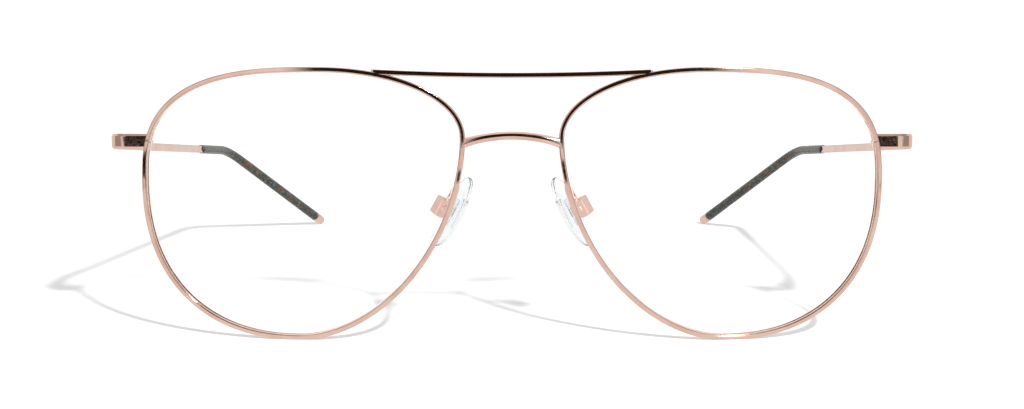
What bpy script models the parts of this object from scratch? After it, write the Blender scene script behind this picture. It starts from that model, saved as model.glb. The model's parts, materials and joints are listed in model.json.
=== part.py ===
"""Wire aviator glasses with a double bridge, modelled piece by piece at real size.

The front faces -Y, and the temples run back along +Y and down to the surface that the rims
stand on. Left and right are the wearer's, so left is +X. Every left-hand piece is modelled, and
its right-hand twin is a mirror image. Heights are worked out from the lowest point of the rim's
centre line, and at the end the whole object is set down on Z = 0 with its box centred on X = Y = 0.
"""
import math

import bmesh
import bpy
import numpy as np
from mathutils import Matrix, Vector

# ---------------------------------------------------------------- driving dimensions, in metres
# Rim, on the centre line of its wire and seen from the front
RIM_WIDTH = 0.0554
RIM_HEIGHT = 0.0468
BRIDGE_WIDTH = 0.0171            # between the two rims' centre lines at their closest
NOSE_SIDE_HEIGHT = 0.0350        # height of the point nearest the nose
OUTER_SIDE_HEIGHT = 0.0272       # height of the outermost point
TOP_FROM_NOSE_SIDE = 0.0244      # highest point, outwards from the point nearest the nose
BOTTOM_FROM_NOSE_SIDE = 0.0285   # lowest point, likewise
UPPER_OUTER_POWER = 2.77         # superellipse power of each quarter: above 2 is squarer
UPPER_NOSE_POWER = 2.04
LOWER_NOSE_POWER = 1.84
LOWER_OUTER_POWER = 2.30
FACE_FORM = math.radians(5.0)    # each lens leans back towards its outer side
WIRE_FACE = 0.00095              # rim wire seen from the front
WIRE_DEPTH = 0.0015              # rim wire from front to back
WIRE_CHAMFER = 0.00018
GROOVE_DEPTH = 0.00042
GROOVE_WIDTH = 0.00072
RIM_SPLIT = 0.00015              # saw cut that lets the lens in
RIM_STEPS = 72
QUARTER_SAMPLES = 300            # points that each quarter is measured along with

# Lens
LENS_RADIUS = 0.135              # of its two spherical faces
LENS_THICKNESS = 0.0012
LENS_CLEARANCE = 0.00009         # between the lens's edge and the groove

# Top bar and bridge
BAR_REACH = 0.0242               # from the middle to each blunt end
BAR_HEIGHT = 0.0009
BAR_DEPTH = 0.0014
BAR_LIFT = 0.0004                # its end above the rim's centre line
BAR_SAG = 0.00055
BAR_BOW = 0.0005                 # its middle in front of its ends
BRIDGE_END_HEIGHT = 0.03415
BRIDGE_RISE = 0.0014
BRIDGE_BOW = 0.0003
BRIDGE_FACE = 0.0014
BRIDGE_DEPTH = 0.0014
BAR_STEPS = 24
SOLDER_GAP = 0.00003             # left between soldered pieces

# End piece, which turns back from the rim to the hinge
END_HEIGHT = 0.0340              # its middle, and the middle of the rim's lock
END_TALL = 0.0027
END_THICKNESS = 0.0010
END_REACH = 0.0063               # outer face, outwards from the rim's outermost point
END_CORNER = 0.0031              # outer radius of the turn
END_CHAMFER = 0.00022
END_SET_BACK = 0.00025           # its face behind the rim's front face

# Rim lock: two blocks behind the end piece, and a screw that goes in from below
LOCK_WIDTH = 0.0034
LOCK_DEPTH = 0.0019
LOCK_TALL = 0.0019               # both blocks and the saw cut
LOCK_BEHIND_RIM = 0.0002
LOCK_CHAMFER = 0.00015

# Hinge
HINGE_INSET = 0.0019             # axis inwards from the middle of the temple's thickness
KNUCKLE_RADIUS = 0.0011
HINGE_TALL = 0.0022
KNUCKLE_GAP = 0.00005
LEAF_THICKNESS = 0.0008
WEB_INSET = 0.00002              # of the knuckles' webs from the leaf's outer side
WEB_THICKNESS = 0.0007
FRONT_LEAF_LENGTH = 0.0011
LEAF_TO_CORNER = 0.00002         # between the front leaf and the turn of the end piece
TEMPLE_LEAF_LENGTH = 0.0050
LEAF_SET_BACK = 0.00015          # from the knuckles, so that the leaves clear them as they turn
BUTT_GAP = 0.00005               # between the end piece and the temple, each side of the axis

# Screws
SCREW_RADIUS = 0.00045
SCREW_CLEARANCE = 0.00005
HEAD_RADIUS = 0.00085
HEAD_TALL = 0.0003
SLOT_WIDTH = 0.0002
SLOT_DEPTH = 0.00018
TURN_STEPS = 20
MERGE_DISTANCE = 0.000001        # vertices nearer than this are one

# Temple
TEMPLE_THICKNESS = 0.0010
TEMPLE_TALL = 0.0027             # at the hinge
TEMPLE_SLIM_TALL = 0.0015        # beyond its taper, which is all on the upper edge
TAPER_END = 0.0240               # along the temple from the hinge
STRAIGHT_FRONT = 0.0080          # parallel to the hinge's leaf
INWARD_TURN = math.radians(6.0)
INWARD_RADIUS = 0.0600
BEND_START = 0.0815              # along the temple from the hinge
BEND_RADIUS = 0.0240
BEND_TURN = math.radians(28.2)
BEND_ROLL = math.radians(51.0)   # 0 bends the tip inwards, 90 degrees bends it down
TIP_LENGTH = 0.0376              # straight run after the bend
STATION_STEP = 0.0030            # between the sections along bends

# Sleeve and end cap on the tip
SLEEVE_START = 0.0640            # along the temple from the hinge
SLEEVE_RADIUS_START = 0.00085
SLEEVE_RADIUS_END = 0.00100
SLEEVE_BORE = 0.00062
CORE_RADIUS = 0.00052
CAP_RADIUS = 0.00104
CAP_LENGTH = 0.0030
CAP_SOCKET = 0.0022
CAP_ROUNDING = 0.0003
STEP_GAP = 0.00004               # between temple, sleeve and cap where they butt

# Nose pad and its arm; a pad's own axes are X down its length, Y to the nose, Z to the back
PAD_AXIS_X = 0.0121              # middle of the pad's screw
PAD_AXIS_Y = 0.0069
PAD_AXIS_HEIGHT = 0.0221
PAD_LEAN = math.radians(28.5)    # the pads stand wider apart at the bottom
PAD_SPLAY = math.radians(25.0)   # and wider apart at the back
PAD_LENGTH = 0.0136
PAD_WIDTH = 0.0074
PAD_OUTER_FACE = 0.00145         # flat side, from the screw's axis
PAD_THICKNESS = 0.0017
PAD_FLAT_SHARE = 0.35            # share of the thickness on the flat side of its rim
PAD_FLATNESS = 0.35              # power that squares the flat side: nearer 0 is flatter
PAD_DROP = 0.12                  # how much wider its lower end is
PLATE_LENGTH = 0.0050
PLATE_WIDTH = 0.0026
PLATE_THICKNESS = 0.0004
PLATE_DEPTH = 0.0001             # plate below the pad's flat side
PAD_CLEARANCE = 0.00005
BOSS_RADIUS = 0.00085
BOSS_WIDTH = 0.0014
BOX_LENGTH = 0.0032
BOX_WIDTH = 0.0026
BOX_WEB = 0.0005
BOX_LIP = 0.0009                 # walls beyond the screw's axis
BOX_SLOT_CLEARANCE = 0.00005
ROCK_CLEARANCE = 0.00015
ARM_RADIUS = 0.00045
ARM_FOOT_LOW = 0.0222            # heights between which the arm is soldered to the rim
ARM_FOOT_HIGH = 0.0260
ARM_FOOT_INWARD = 0.00025        # its middle nearer the nose than the rim's
ARM_HOOK_RISE = 0.0007           # where it turns back over its foot
ARM_HOOK_BACK = 0.0010
ARM_HANG = 0.0010                # straight run down to the box
ARM_ON_BOX = 0.0004              # outwards from the screw's axis
ARM_STEPS = 5                    # between one shaping point and the next

# ---------------------------------------------------------------- finishes
FINISHES = {                     # base colour, metallic, roughness, transmission
    "rose_gold": ((0.86, 0.57, 0.48, 1.0), 1.0, 0.16, 0.0),
    "screw_steel": ((0.80, 0.66, 0.60, 1.0), 1.0, 0.25, 0.0),
    "clear_lens": ((0.98, 0.99, 0.99, 1.0), 0.0, 0.02, 1.0),
    "clear_insert": ((0.88, 0.90, 0.90, 1.0), 0.0, 0.12, 0.85),
    "clear_silicone": ((0.93, 0.95, 0.95, 1.0), 0.0, 0.22, 0.85),
    "dark_acetate": ((0.045, 0.05, 0.043, 1.0), 0.0, 0.22, 0.0),
}

for old in list(bpy.data.objects):
    bpy.data.objects.remove(old, do_unlink=True)

PIECES = bpy.data.collections.new("aviator_glasses")
CUTTERS = bpy.data.collections.new("cutters")
bpy.context.scene.collection.children.link(PIECES)
bpy.context.scene.collection.children.link(CUTTERS)


# ---------------------------------------------------------------- helpers
def add_empty(name, frame, parent=None):
    """An empty that carries pieces, standing at frame within its parent."""
    empty = bpy.data.objects.new(name, None)
    PIECES.objects.link(empty)
    empty.empty_display_size = 0.005
    empty.parent = parent
    empty.matrix_basis = frame
    return empty


def add_material(name, finish):
    """The piece's own Principled material."""
    colour, metallic, roughness, transmission = FINISHES[finish]
    material = bpy.data.materials.new(name + "_" + finish)
    material.use_nodes = True
    shader = material.node_tree.nodes["Principled BSDF"]
    shader.inputs["Base Color"].default_value = colour
    shader.inputs["Metallic"].default_value = metallic
    shader.inputs["Roughness"].default_value = roughness
    shader.inputs["Transmission Weight"].default_value = transmission
    material.diffuse_color = colour
    return material


def add_mesh(name, build, finish=None, parent=None, frame=Matrix.Identity(4)):
    """An object from a bmesh: a piece when it has a finish, otherwise a cutter."""
    mesh = bpy.data.meshes.new(name)
    build.to_mesh(mesh)
    build.free()
    return add_object(name, mesh, finish, parent, frame)


def add_object(name, data, finish, parent, frame):
    """Link an object, smooth its shallow edges, and parent it."""
    piece = bpy.data.objects.new(name, data)
    if finish:
        PIECES.objects.link(piece)
        data.materials.clear()
        data.materials.append(add_material(name, finish))
        data.shade_smooth()
        data.set_sharp_from_angle(angle=math.radians(35))
    else:
        CUTTERS.objects.link(piece)
        piece.display_type = "WIRE"
        piece.hide_render = True
    piece.parent = parent
    piece.matrix_basis = frame
    return piece


def box_shape(low, high, build=None):
    """A cube primitive stretched between two corners."""
    build = build or bmesh.new()
    low, high = Vector(low), Vector(high)
    fit = Matrix.Translation((low + high) / 2) @ Matrix.Diagonal((*(high - low), 1))
    bmesh.ops.create_cube(build, size=1, matrix=fit)
    return build


def rod_shape(radius, bottom, top, steps=TURN_STEPS):
    """A cylinder primitive on the Z axis."""
    build = bmesh.new()
    middle = Matrix.Translation((0, 0, (bottom + top) / 2))
    bmesh.ops.create_cone(build, cap_ends=True, segments=steps, radius1=radius,
                          radius2=radius, depth=top - bottom, matrix=middle)
    return build


def add_turned(name, profile, finish, parent, frame):
    """A profile of (radius, height) points, listed down its outer side, turned about Z."""
    mesh = bpy.data.meshes.new(name)
    points = [(radius, 0, height) for radius, height in profile]
    mesh.from_pydata(points, [(i, i + 1) for i in range(len(points) - 1)], [])
    piece = add_object(name, mesh, finish, parent, frame)
    turn = piece.modifiers.new("turn", "SCREW")
    turn.steps = turn.render_steps = TURN_STEPS
    turn.use_merge_vertices = True
    turn.merge_threshold = MERGE_DISTANCE
    return piece


def bevel(piece, width):
    """Chamfer the piece's sharp edges."""
    edges = piece.modifiers.new("chamfer", "BEVEL")
    edges.width = width
    edges.segments = 1
    edges.limit_method = "ANGLE"
    edges.angle_limit = math.radians(50)


def combine(piece, other, operation):
    """An exact Boolean modifier."""
    cut = piece.modifiers.new(other.name, "BOOLEAN")
    cut.operation = operation
    cut.solver = "EXACT"
    cut.object = other


def add_curve(name, points, cyclic=False, depth=0.0, profile=None, radii=None):
    """A polyline swept by a round section or by a profile curve, still a curve."""
    curve = bpy.data.curves.new(name, "CURVE")
    curve.dimensions = "3D"
    spline = curve.splines.new("POLY")
    spline.points.add(len(points) - 1)
    for index, point in enumerate(points):
        spline.points[index].co = (*point, 1)
        spline.points[index].radius = radii[index] if radii else 1.0
    spline.use_cyclic_u = cyclic
    curve.bevel_resolution = 2
    curve.use_fill_caps = radii is None
    if profile:
        curve.twist_mode = "Z_UP"
        curve.bevel_mode = "OBJECT"
        curve.bevel_object = profile
    else:
        curve.bevel_depth = depth
    swept = bpy.data.objects.new(name + "_path", curve)
    CUTTERS.objects.link(swept)
    swept.display_type = "WIRE"
    swept.hide_render = True
    return swept


def curve_to_mesh(name, swept, finish, parent, frame=Matrix.Identity(4)):
    """The swept curve as a welded mesh object; the curve goes."""
    bpy.context.view_layer.update()
    seen = swept.evaluated_get(bpy.context.evaluated_depsgraph_get())
    mesh = bpy.data.meshes.new_from_object(seen)
    build = bmesh.new()
    build.from_mesh(mesh)
    bmesh.ops.remove_doubles(build, verts=build.verts, dist=MERGE_DISTANCE)
    bmesh.ops.recalc_face_normals(build, faces=build.faces)
    build.to_mesh(mesh)
    build.free()
    bpy.data.objects.remove(swept, do_unlink=True)
    return add_object(name, mesh, finish, parent, frame)


def add_profile(name, points):
    """A closed flat outline that a wire is swept with: X outwards, Y forwards."""
    curve = bpy.data.curves.new(name, "CURVE")
    curve.dimensions = "2D"
    curve.fill_mode = "NONE"
    spline = curve.splines.new("POLY")
    spline.points.add(len(points) - 1)
    for index, (x, y) in enumerate(points):
        spline.points[index].co = (x, y, 0, 1)
    spline.use_cyclic_u = True
    outline = bpy.data.objects.new(name, curve)
    CUTTERS.objects.link(outline)
    outline.display_type = "WIRE"
    outline.hide_render = True
    return outline


def chamfered(width, depth, chamfer):
    """Corner points of a rectangle with cut corners, anticlockwise."""
    x, y = width / 2, depth / 2
    return [(x, -y + chamfer), (x, y - chamfer), (x - chamfer, y), (-x + chamfer, y),
            (-x, y - chamfer), (-x, -y + chamfer), (-x + chamfer, -y), (x - chamfer, -y)]


def add_twin(piece, parent):
    """The right-hand mirror image of a finished left-hand piece."""
    seen = piece.evaluated_get(bpy.context.evaluated_depsgraph_get())
    mesh = bpy.data.meshes.new_from_object(seen)
    build = bmesh.new()
    build.from_mesh(mesh)
    build.transform(MIRROR)
    bmesh.ops.reverse_faces(build, faces=build.faces)
    build.to_mesh(mesh)
    build.free()
    name = piece.name.replace("_left", "_right")
    finish = piece.active_material.name[len(piece.name) + 1:]
    return add_object(name, mesh, finish, parent, MIRROR @ piece.matrix_basis @ MIRROR)


MIRROR = Matrix.Diagonal((-1, 1, 1, 1))
# A front piece is drawn flat, X across and Y up, and then stood up to face -Y
STAND_UP = Matrix.Rotation(math.radians(90), 4, "X")
UPSIDE_DOWN = Matrix.Rotation(math.radians(180), 4, "X")


# ---------------------------------------------------------------- shape of the rim and lens
NOSE_SIDE_X = BRIDGE_WIDTH / 2
OUTER_SIDE_X = NOSE_SIDE_X + RIM_WIDTH
TOP_X = NOSE_SIDE_X + TOP_FROM_NOSE_SIDE
BOTTOM_X = NOSE_SIDE_X + BOTTOM_FROM_NOSE_SIDE


def rim_outline():
    """Closely spaced (x, height) points, anticlockwise from the outermost point.

    Each quarter is a superellipse: |x / a| ** power + |z / b| ** power = 1 about its own centre.
    """
    quarters = (
        (TOP_X, OUTER_SIDE_HEIGHT, OUTER_SIDE_X, RIM_HEIGHT, UPPER_OUTER_POWER),
        (TOP_X, NOSE_SIDE_HEIGHT, NOSE_SIDE_X, RIM_HEIGHT, UPPER_NOSE_POWER),
        (BOTTOM_X, NOSE_SIDE_HEIGHT, NOSE_SIDE_X, 0.0, LOWER_NOSE_POWER),
        (BOTTOM_X, OUTER_SIDE_HEIGHT, OUTER_SIDE_X, 0.0, LOWER_OUTER_POWER),
    )
    rows = []
    for number, (centre_x, centre_z, side_x, level_z, power) in enumerate(quarters):
        angle = np.linspace(0, math.pi / 2, QUARTER_SAMPLES, endpoint=False)
        if number % 2:
            angle = math.pi / 2 - angle
        across = np.abs(np.cos(angle)) ** (2 / power)
        up = np.abs(np.sin(angle)) ** (2 / power)
        x = centre_x + (side_x - centre_x) * across
        z = centre_z + (level_z - centre_z) * up
        rows.append(np.column_stack((x, z)))
    return np.vstack(rows)


OUTLINE = rim_outline()
OUTLINE_CLOSED = np.vstack((OUTLINE, OUTLINE[:1]))
OUTLINE_RUN = np.append(0, np.cumsum(np.linalg.norm(np.diff(OUTLINE_CLOSED, axis=0), axis=1)))
RIM_LENGTH = OUTLINE_RUN[-1]
SPLIT_RUN = np.interp(END_HEIGHT, OUTLINE[:QUARTER_SAMPLES, 1], OUTLINE_RUN[:QUARTER_SAMPLES])


def outline_at(run):
    """Points (x, height) at distances along the rim from its saw cut."""
    along = np.mod(SPLIT_RUN + np.asarray(run), RIM_LENGTH)
    x = np.interp(along, OUTLINE_RUN, OUTLINE_CLOSED[:, 0])
    z = np.interp(along, OUTLINE_RUN, OUTLINE_CLOSED[:, 1])
    return np.column_stack((x, z))


def dish(x, z):
    """How far back the middle of the lens and of the wire stands at (x, height)."""
    across = x - (NOSE_SIDE_X + OUTER_SIDE_X) / 2
    up = z - RIM_HEIGHT / 2
    return across * math.tan(FACE_FORM) + (across ** 2 + up ** 2) / (2 * LENS_RADIUS)


def upper_rim_height(x):
    """Height of the rim's centre line above the nose, at x."""
    share = (TOP_X - x) / TOP_FROM_NOSE_SIDE
    rise = (1 - share ** UPPER_NOSE_POWER) ** (1 / UPPER_NOSE_POWER)
    return NOSE_SIDE_HEIGHT + (RIM_HEIGHT - NOSE_SIDE_HEIGHT) * rise


def nose_rim_x(height):
    """Where the rim's centre line runs beside the nose, at a height."""
    share = (NOSE_SIDE_HEIGHT - height) / NOSE_SIDE_HEIGHT
    reach = (1 - share ** LOWER_NOSE_POWER) ** (1 / LOWER_NOSE_POWER)
    return BOTTOM_X - BOTTOM_FROM_NOSE_SIDE * reach


def front_points(x, z):
    """Flat drawing points of a wire that follows the dish of the lens."""
    return np.column_stack((x, z, -dish(x, z)))


# ---------------------------------------------------------------- end piece and hinge places
SPLIT_X, SPLIT_Z = outline_at(0.0)[0]
SPLIT_Y = dish(SPLIT_X, SPLIT_Z)
END_FRONT_Y = SPLIT_Y - WIRE_DEPTH / 2 + END_SET_BACK
END_MIDDLE_Y = END_FRONT_Y + END_THICKNESS / 2
END_OUTER_X = OUTER_SIDE_X + END_REACH
LEAF_START = KNUCKLE_RADIUS + LEAF_SET_BACK
HINGE_BACK = END_CORNER - END_THICKNESS / 2 + LEAF_TO_CORNER + FRONT_LEAF_LENGTH + LEAF_START
HINGE_X = END_OUTER_X - END_THICKNESS / 2 - HINGE_INSET
HINGE_Y = END_MIDDLE_Y + HINGE_BACK


def temple_run():
    """Straight and curved runs of the temple: (length, turn, roll of the bend)."""
    inward = INWARD_TURN * INWARD_RADIUS
    bend = BEND_TURN * BEND_RADIUS
    return (
        (STRAIGHT_FRONT - BUTT_GAP, 0.0, 0.0),
        (inward, INWARD_TURN, 0.0),
        (BEND_START - STRAIGHT_FRONT - inward, 0.0, 0.0),
        (bend, BEND_TURN, BEND_ROLL),
        (TIP_LENGTH, 0.0, 0.0),
    )


def temple_at(run):
    """Frame of the slim temple's centre line in the hinge's axes: X outwards, Y along, Z upright."""
    place = Vector((HINGE_INSET, BUTT_GAP, (TEMPLE_SLIM_TALL - TEMPLE_TALL) / 2))
    turned = Matrix.Identity(3)
    left = run - BUTT_GAP
    for length, turn, roll in temple_run():
        step = min(left, length)
        share = step / length
        # A turn about this axis takes the run inwards (-X) when roll is 0, and down at 90 degrees
        axis = turned @ Vector((-math.sin(roll), 0, math.cos(roll)))
        if turn:
            radius = length / turn
            angle = turn * share
            inward = turned @ Vector((-math.cos(roll), 0, -math.sin(roll)))
            along = turned @ Vector((0, 1, 0))
            place = place + along * radius * math.sin(angle) + inward * radius * (1 - math.cos(angle))
            turned = Matrix.Rotation(angle, 3, axis) @ turned
        else:
            place = place + turned @ Vector((0, step, 0))
        left -= step
        if left <= 0:
            break
    along = turned @ Vector((0, 1, 0))
    out = along.cross(Vector((0, 0, 1))).normalized()
    upright = out.cross(along)
    frame = Matrix((out, along, upright)).transposed().to_4x4()
    frame.translation = place
    return frame


TEMPLE_LENGTH = BUTT_GAP + sum(length for length, turn, roll in temple_run())


def hinge_frame(pitch):
    """The hinge's axes: its middle, tipped so that the temple slopes down to the back."""
    drop = HINGE_BACK * math.tan(pitch)
    place = Matrix.Translation((HINGE_X, HINGE_Y, END_HEIGHT - drop))
    return place @ Matrix.Rotation(-pitch, 4, "X")


def tip_height(pitch):
    """Lowest point of the end cap, where its rounding starts, for a temple that slopes by pitch."""
    end = hinge_frame(pitch) @ temple_at(TEMPLE_LENGTH)
    steepness = end.col[1].z
    rounding_start = end.translation.z - CAP_ROUNDING * steepness
    return rounding_start - CAP_RADIUS * math.sqrt(1 - steepness ** 2)


def level_pitch():
    """The slope that stands the tips and the rims on one surface, found by halving."""
    low, high = 0.0, math.radians(25)
    for _ in range(40):
        middle = (low + high) / 2
        if tip_height(middle) > -WIRE_FACE / 2:
            low = middle
        else:
            high = middle
    return low


PITCH = level_pitch()
HINGE = hinge_frame(PITCH)

ROOT = add_empty("glasses", Matrix.Identity(4))
TEMPLE_AXIS = add_empty("temple_left_axis", HINGE, ROOT)


# ---------------------------------------------------------------- rims and lenses
def rim_section():
    """The wire's section: a chamfered rectangle with a V groove on its inner side."""
    corners = chamfered(WIRE_FACE, WIRE_DEPTH, WIRE_CHAMFER)
    half = GROOVE_WIDTH / 2
    groove = [(WIRE_FACE / 2, -half), (WIRE_FACE / 2 - GROOVE_DEPTH, 0), (WIRE_FACE / 2, half)]
    return [(-x, y) for x, y in corners[:1] + groove + corners[1:]]


def add_rim():
    """The wire, bent round the lens and open at its saw cut."""
    run = np.linspace(0, RIM_LENGTH, RIM_STEPS + 1)
    run[0] += RIM_SPLIT / 2
    run[-1] -= RIM_SPLIT / 2
    points = outline_at(run)
    section = add_profile("rim_section", rim_section())
    swept = add_curve("rim_left", front_points(points[:, 0], points[:, 1]), profile=section)
    return curve_to_mesh("rim_left", swept, "rose_gold", ROOT, STAND_UP)


def add_rim_cutter():
    """The rim's outer form with a solder gap, closed: it copes what is soldered to the rim."""
    points = outline_at(np.linspace(0, RIM_LENGTH, RIM_STEPS, endpoint=False))
    grown = 2 * SOLDER_GAP
    section = add_profile("rim_cutter_section",
                          chamfered(WIRE_FACE + grown, WIRE_DEPTH + grown, WIRE_CHAMFER))
    swept = add_curve("rim_cutter_left", front_points(points[:, 0], points[:, 1]), cyclic=True,
                      profile=section)
    return curve_to_mesh("rim_cutter_left", swept, None, ROOT, STAND_UP)


def add_cutter_twin(cutter):
    """The right-hand mirror image of a cutter that stands up as the front pieces do."""
    mirrored = bmesh.new()
    mirrored.from_mesh(cutter.data)
    mirrored.transform(MIRROR @ STAND_UP)
    bmesh.ops.reverse_faces(mirrored, faces=mirrored.faces)
    return add_mesh(cutter.name.replace("_left", "_right"), mirrored, None, ROOT)


def inset_outline(points, inset):
    """Move a closed outline inwards by a distance along its corner bisectors."""
    before = np.roll(points, 1, axis=0)
    after = np.roll(points, -1, axis=0)
    along = (after - before) / np.linalg.norm(after - before, axis=1)[:, None]
    inward = np.column_stack((-along[:, 1], along[:, 0]))
    return points + inset * inward


def add_lens():
    """A sphere primitive flattened into a dished lens whose equator is the edge's V bevel."""
    half = LENS_THICKNESS / 2
    edge = WIRE_FACE / 2
    apex = edge - GROOVE_DEPTH + LENS_CLEARANCE
    bevel_half = GROOVE_WIDTH / 2 - LENS_CLEARANCE
    # From the front pole to the back pole: (share of the way out, inset from the wire, depth)
    rings = [(0, 0, -half), (0.33, 0, -half), (0.67, 0, -half),
             (1, edge + 2 * LENS_CLEARANCE, -half), (1, edge + LENS_CLEARANCE, -bevel_half),
             (1, apex, 0)]
    rings += [(share, inset, -depth) for share, inset, depth in reversed(rings[:-1])]
    outline = outline_at(np.linspace(0, RIM_LENGTH, RIM_STEPS, endpoint=False))
    centre = np.array(((NOSE_SIDE_X + OUTER_SIDE_X) / 2, RIM_HEIGHT / 2))
    build = bmesh.new()
    bands = len(rings) - 1
    bmesh.ops.create_uvsphere(build, u_segments=RIM_STEPS, v_segments=bands, radius=1)
    for vertex in build.verts:
        ring = round(math.acos(max(-1, min(1, vertex.co.z))) / math.pi * bands)
        turn = round(math.atan2(vertex.co.y, vertex.co.x) / (2 * math.pi) * RIM_STEPS) % RIM_STEPS
        share, inset, depth = rings[ring]
        x, z = centre + share * (inset_outline(outline, inset)[turn] - centre)
        vertex.co = (x, z, -(dish(x, z) + depth))
    return add_mesh("lens_left", build, "clear_lens", ROOT, STAND_UP)


# ---------------------------------------------------------------- top bar and bridge
def add_cross_piece(name, half, end_height, rise, bow, section):
    """A wire from rim to rim on a shallow arch, coped to both rims."""
    across = np.linspace(-1, 1, BAR_STEPS + 1)
    height = end_height + rise * (1 - across ** 2)
    back = dish(half, end_height) - bow * (1 - across ** 2)
    points = np.column_stack((half * across, height, -back))
    swept = add_curve(name, points, profile=add_profile(name + "_section", section))
    piece = curve_to_mesh(name, swept, "rose_gold", ROOT, STAND_UP)
    combine(piece, RIM_CUTTER, "DIFFERENCE")
    combine(piece, RIM_CUTTER_RIGHT, "DIFFERENCE")
    return piece


# ---------------------------------------------------------------- end piece and rim lock
def add_end_piece():
    """A flat strip that leaves the rim, turns the corner and slopes back to the hinge."""
    inner_corner = END_CORNER - END_THICKNESS
    turn = np.linspace(0, math.pi / 2, 7)
    centre_x, centre_y = END_OUTER_X - END_CORNER, END_FRONT_Y + END_CORNER
    back = HINGE_Y + END_TALL / 2
    outer = [(centre_x + END_CORNER * math.sin(a), centre_y - END_CORNER * math.cos(a)) for a in turn]
    inner = [(centre_x + inner_corner * math.sin(a), centre_y - inner_corner * math.cos(a))
             for a in turn[::-1]]
    plan = [(SPLIT_X, END_FRONT_Y), *outer, (END_OUTER_X, back), (END_OUTER_X - END_THICKNESS, back),
            *inner, (SPLIT_X, END_FRONT_Y + END_THICKNESS)]
    curve = bpy.data.curves.new("end_piece_left", "CURVE")
    curve.dimensions = "2D"
    curve.fill_mode = "BOTH"
    curve.extrude = END_TALL / 2
    spline = curve.splines.new("POLY")
    spline.points.add(len(plan) - 1)
    for index, (x, y) in enumerate(plan):
        spline.points[index].co = (x, y, 0, 1)
    spline.use_cyclic_u = True
    strip = bpy.data.objects.new("end_piece_path", curve)
    CUTTERS.objects.link(strip)
    piece = curve_to_mesh("end_piece_left", strip, "rose_gold", ROOT)
    for vertex in piece.data.vertices:
        slope = max(0.0, vertex.co.y - END_MIDDLE_Y) * math.tan(PITCH)
        vertex.co.z += END_HEIGHT - slope
    bevel(piece, END_CHAMFER)
    combine(piece, RIM_CUTTER, "DIFFERENCE")
    room = END_TALL + END_CORNER
    behind = box_shape((-room, -BUTT_GAP, -room), (room, room, room))
    combine(piece, add_mesh("end_piece_cut", behind, None, ROOT, HINGE), "DIFFERENCE")
    return piece


LOCK_FRONT_Y = SPLIT_Y + WIRE_DEPTH / 2 + LOCK_BEHIND_RIM
LOCK_AXIS = Matrix.Translation((SPLIT_X + LOCK_WIDTH / 2 - WIRE_FACE / 2 + HEAD_RADIUS / 2,
                                LOCK_FRONT_Y + LOCK_DEPTH / 2, END_HEIGHT))


def add_lock_block(name, side):
    """Half of the rim's lock: a drilled block above (side 1) or below (side -1) the saw cut."""
    low_x = SPLIT_X - WIRE_FACE / 2
    heights = sorted((side * RIM_SPLIT / 2, side * LOCK_TALL / 2))
    block = box_shape((low_x, LOCK_FRONT_Y, END_HEIGHT + heights[0]),
                      (low_x + LOCK_WIDTH, LOCK_FRONT_Y + LOCK_DEPTH, END_HEIGHT + heights[1]))
    piece = add_mesh(name, block, "rose_gold", ROOT)
    bevel(piece, LOCK_CHAMFER)
    hole = rod_shape(SCREW_RADIUS + SCREW_CLEARANCE, -LOCK_TALL, LOCK_TALL)
    combine(piece, add_mesh(name + "_hole", hole, None, ROOT, LOCK_AXIS), "DIFFERENCE")
    return piece


def add_screw(name, shank, parent, frame, clearance):
    """A slotted screw: its head sits clearance above the frame, and its shank runs down."""
    top = HEAD_TALL + clearance
    rounding = HEAD_TALL / 3
    profile = [(0, top), (HEAD_RADIUS - rounding, top), (HEAD_RADIUS, top - rounding),
               (HEAD_RADIUS, clearance), (SCREW_RADIUS, clearance), (SCREW_RADIUS, -shank), (0, -shank)]
    piece = add_turned(name, profile, "screw_steel", parent, frame)
    slot = box_shape((-HEAD_RADIUS * 2, -SLOT_WIDTH / 2, top - SLOT_DEPTH),
                     (HEAD_RADIUS * 2, SLOT_WIDTH / 2, top + SLOT_DEPTH))
    combine(piece, add_mesh(name + "_slot", slot, None, parent, frame), "DIFFERENCE")
    return piece


# ---------------------------------------------------------------- hinge
LEAF_OUTER = HINGE_INSET - TEMPLE_THICKNESS / 2 - SOLDER_GAP
KNUCKLE_TALL = (HINGE_TALL - 2 * KNUCKLE_GAP) / 3


def add_hinge_half(name, side, levels, length, parent, frame):
    """A leaf with its knuckles, drilled. Side 1 runs back onto the temple, -1 forwards."""
    near, far = sorted((side * LEAF_START, side * (LEAF_START + length)))
    leaf = box_shape((LEAF_OUTER - LEAF_THICKNESS, near, -HINGE_TALL / 2),
                     (LEAF_OUTER, far, HINGE_TALL / 2))
    piece = add_mesh(name, leaf, "rose_gold", parent, frame)
    for number, level in enumerate(levels):
        bottom = -HINGE_TALL / 2 + level * (KNUCKLE_TALL + KNUCKLE_GAP)
        top = bottom + KNUCKLE_TALL
        knuckle = rod_shape(KNUCKLE_RADIUS, bottom, top)
        tag = name + "_knuckle_" + str(number)
        combine(piece, add_mesh(tag, knuckle, None, parent, frame), "UNION")
        ends = sorted((0.0, side * (LEAF_START + LEAF_THICKNESS / 2)))
        web_outer = LEAF_OUTER - WEB_INSET
        web = box_shape((web_outer - WEB_THICKNESS, ends[0], bottom), (web_outer, ends[1], top))
        combine(piece, add_mesh(tag + "_web", web, None, parent, frame), "UNION")
    hole = rod_shape(SCREW_RADIUS + SCREW_CLEARANCE, -HINGE_TALL, HINGE_TALL)
    combine(piece, add_mesh(name + "_hole", hole, None, parent, frame), "DIFFERENCE")
    return piece


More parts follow.
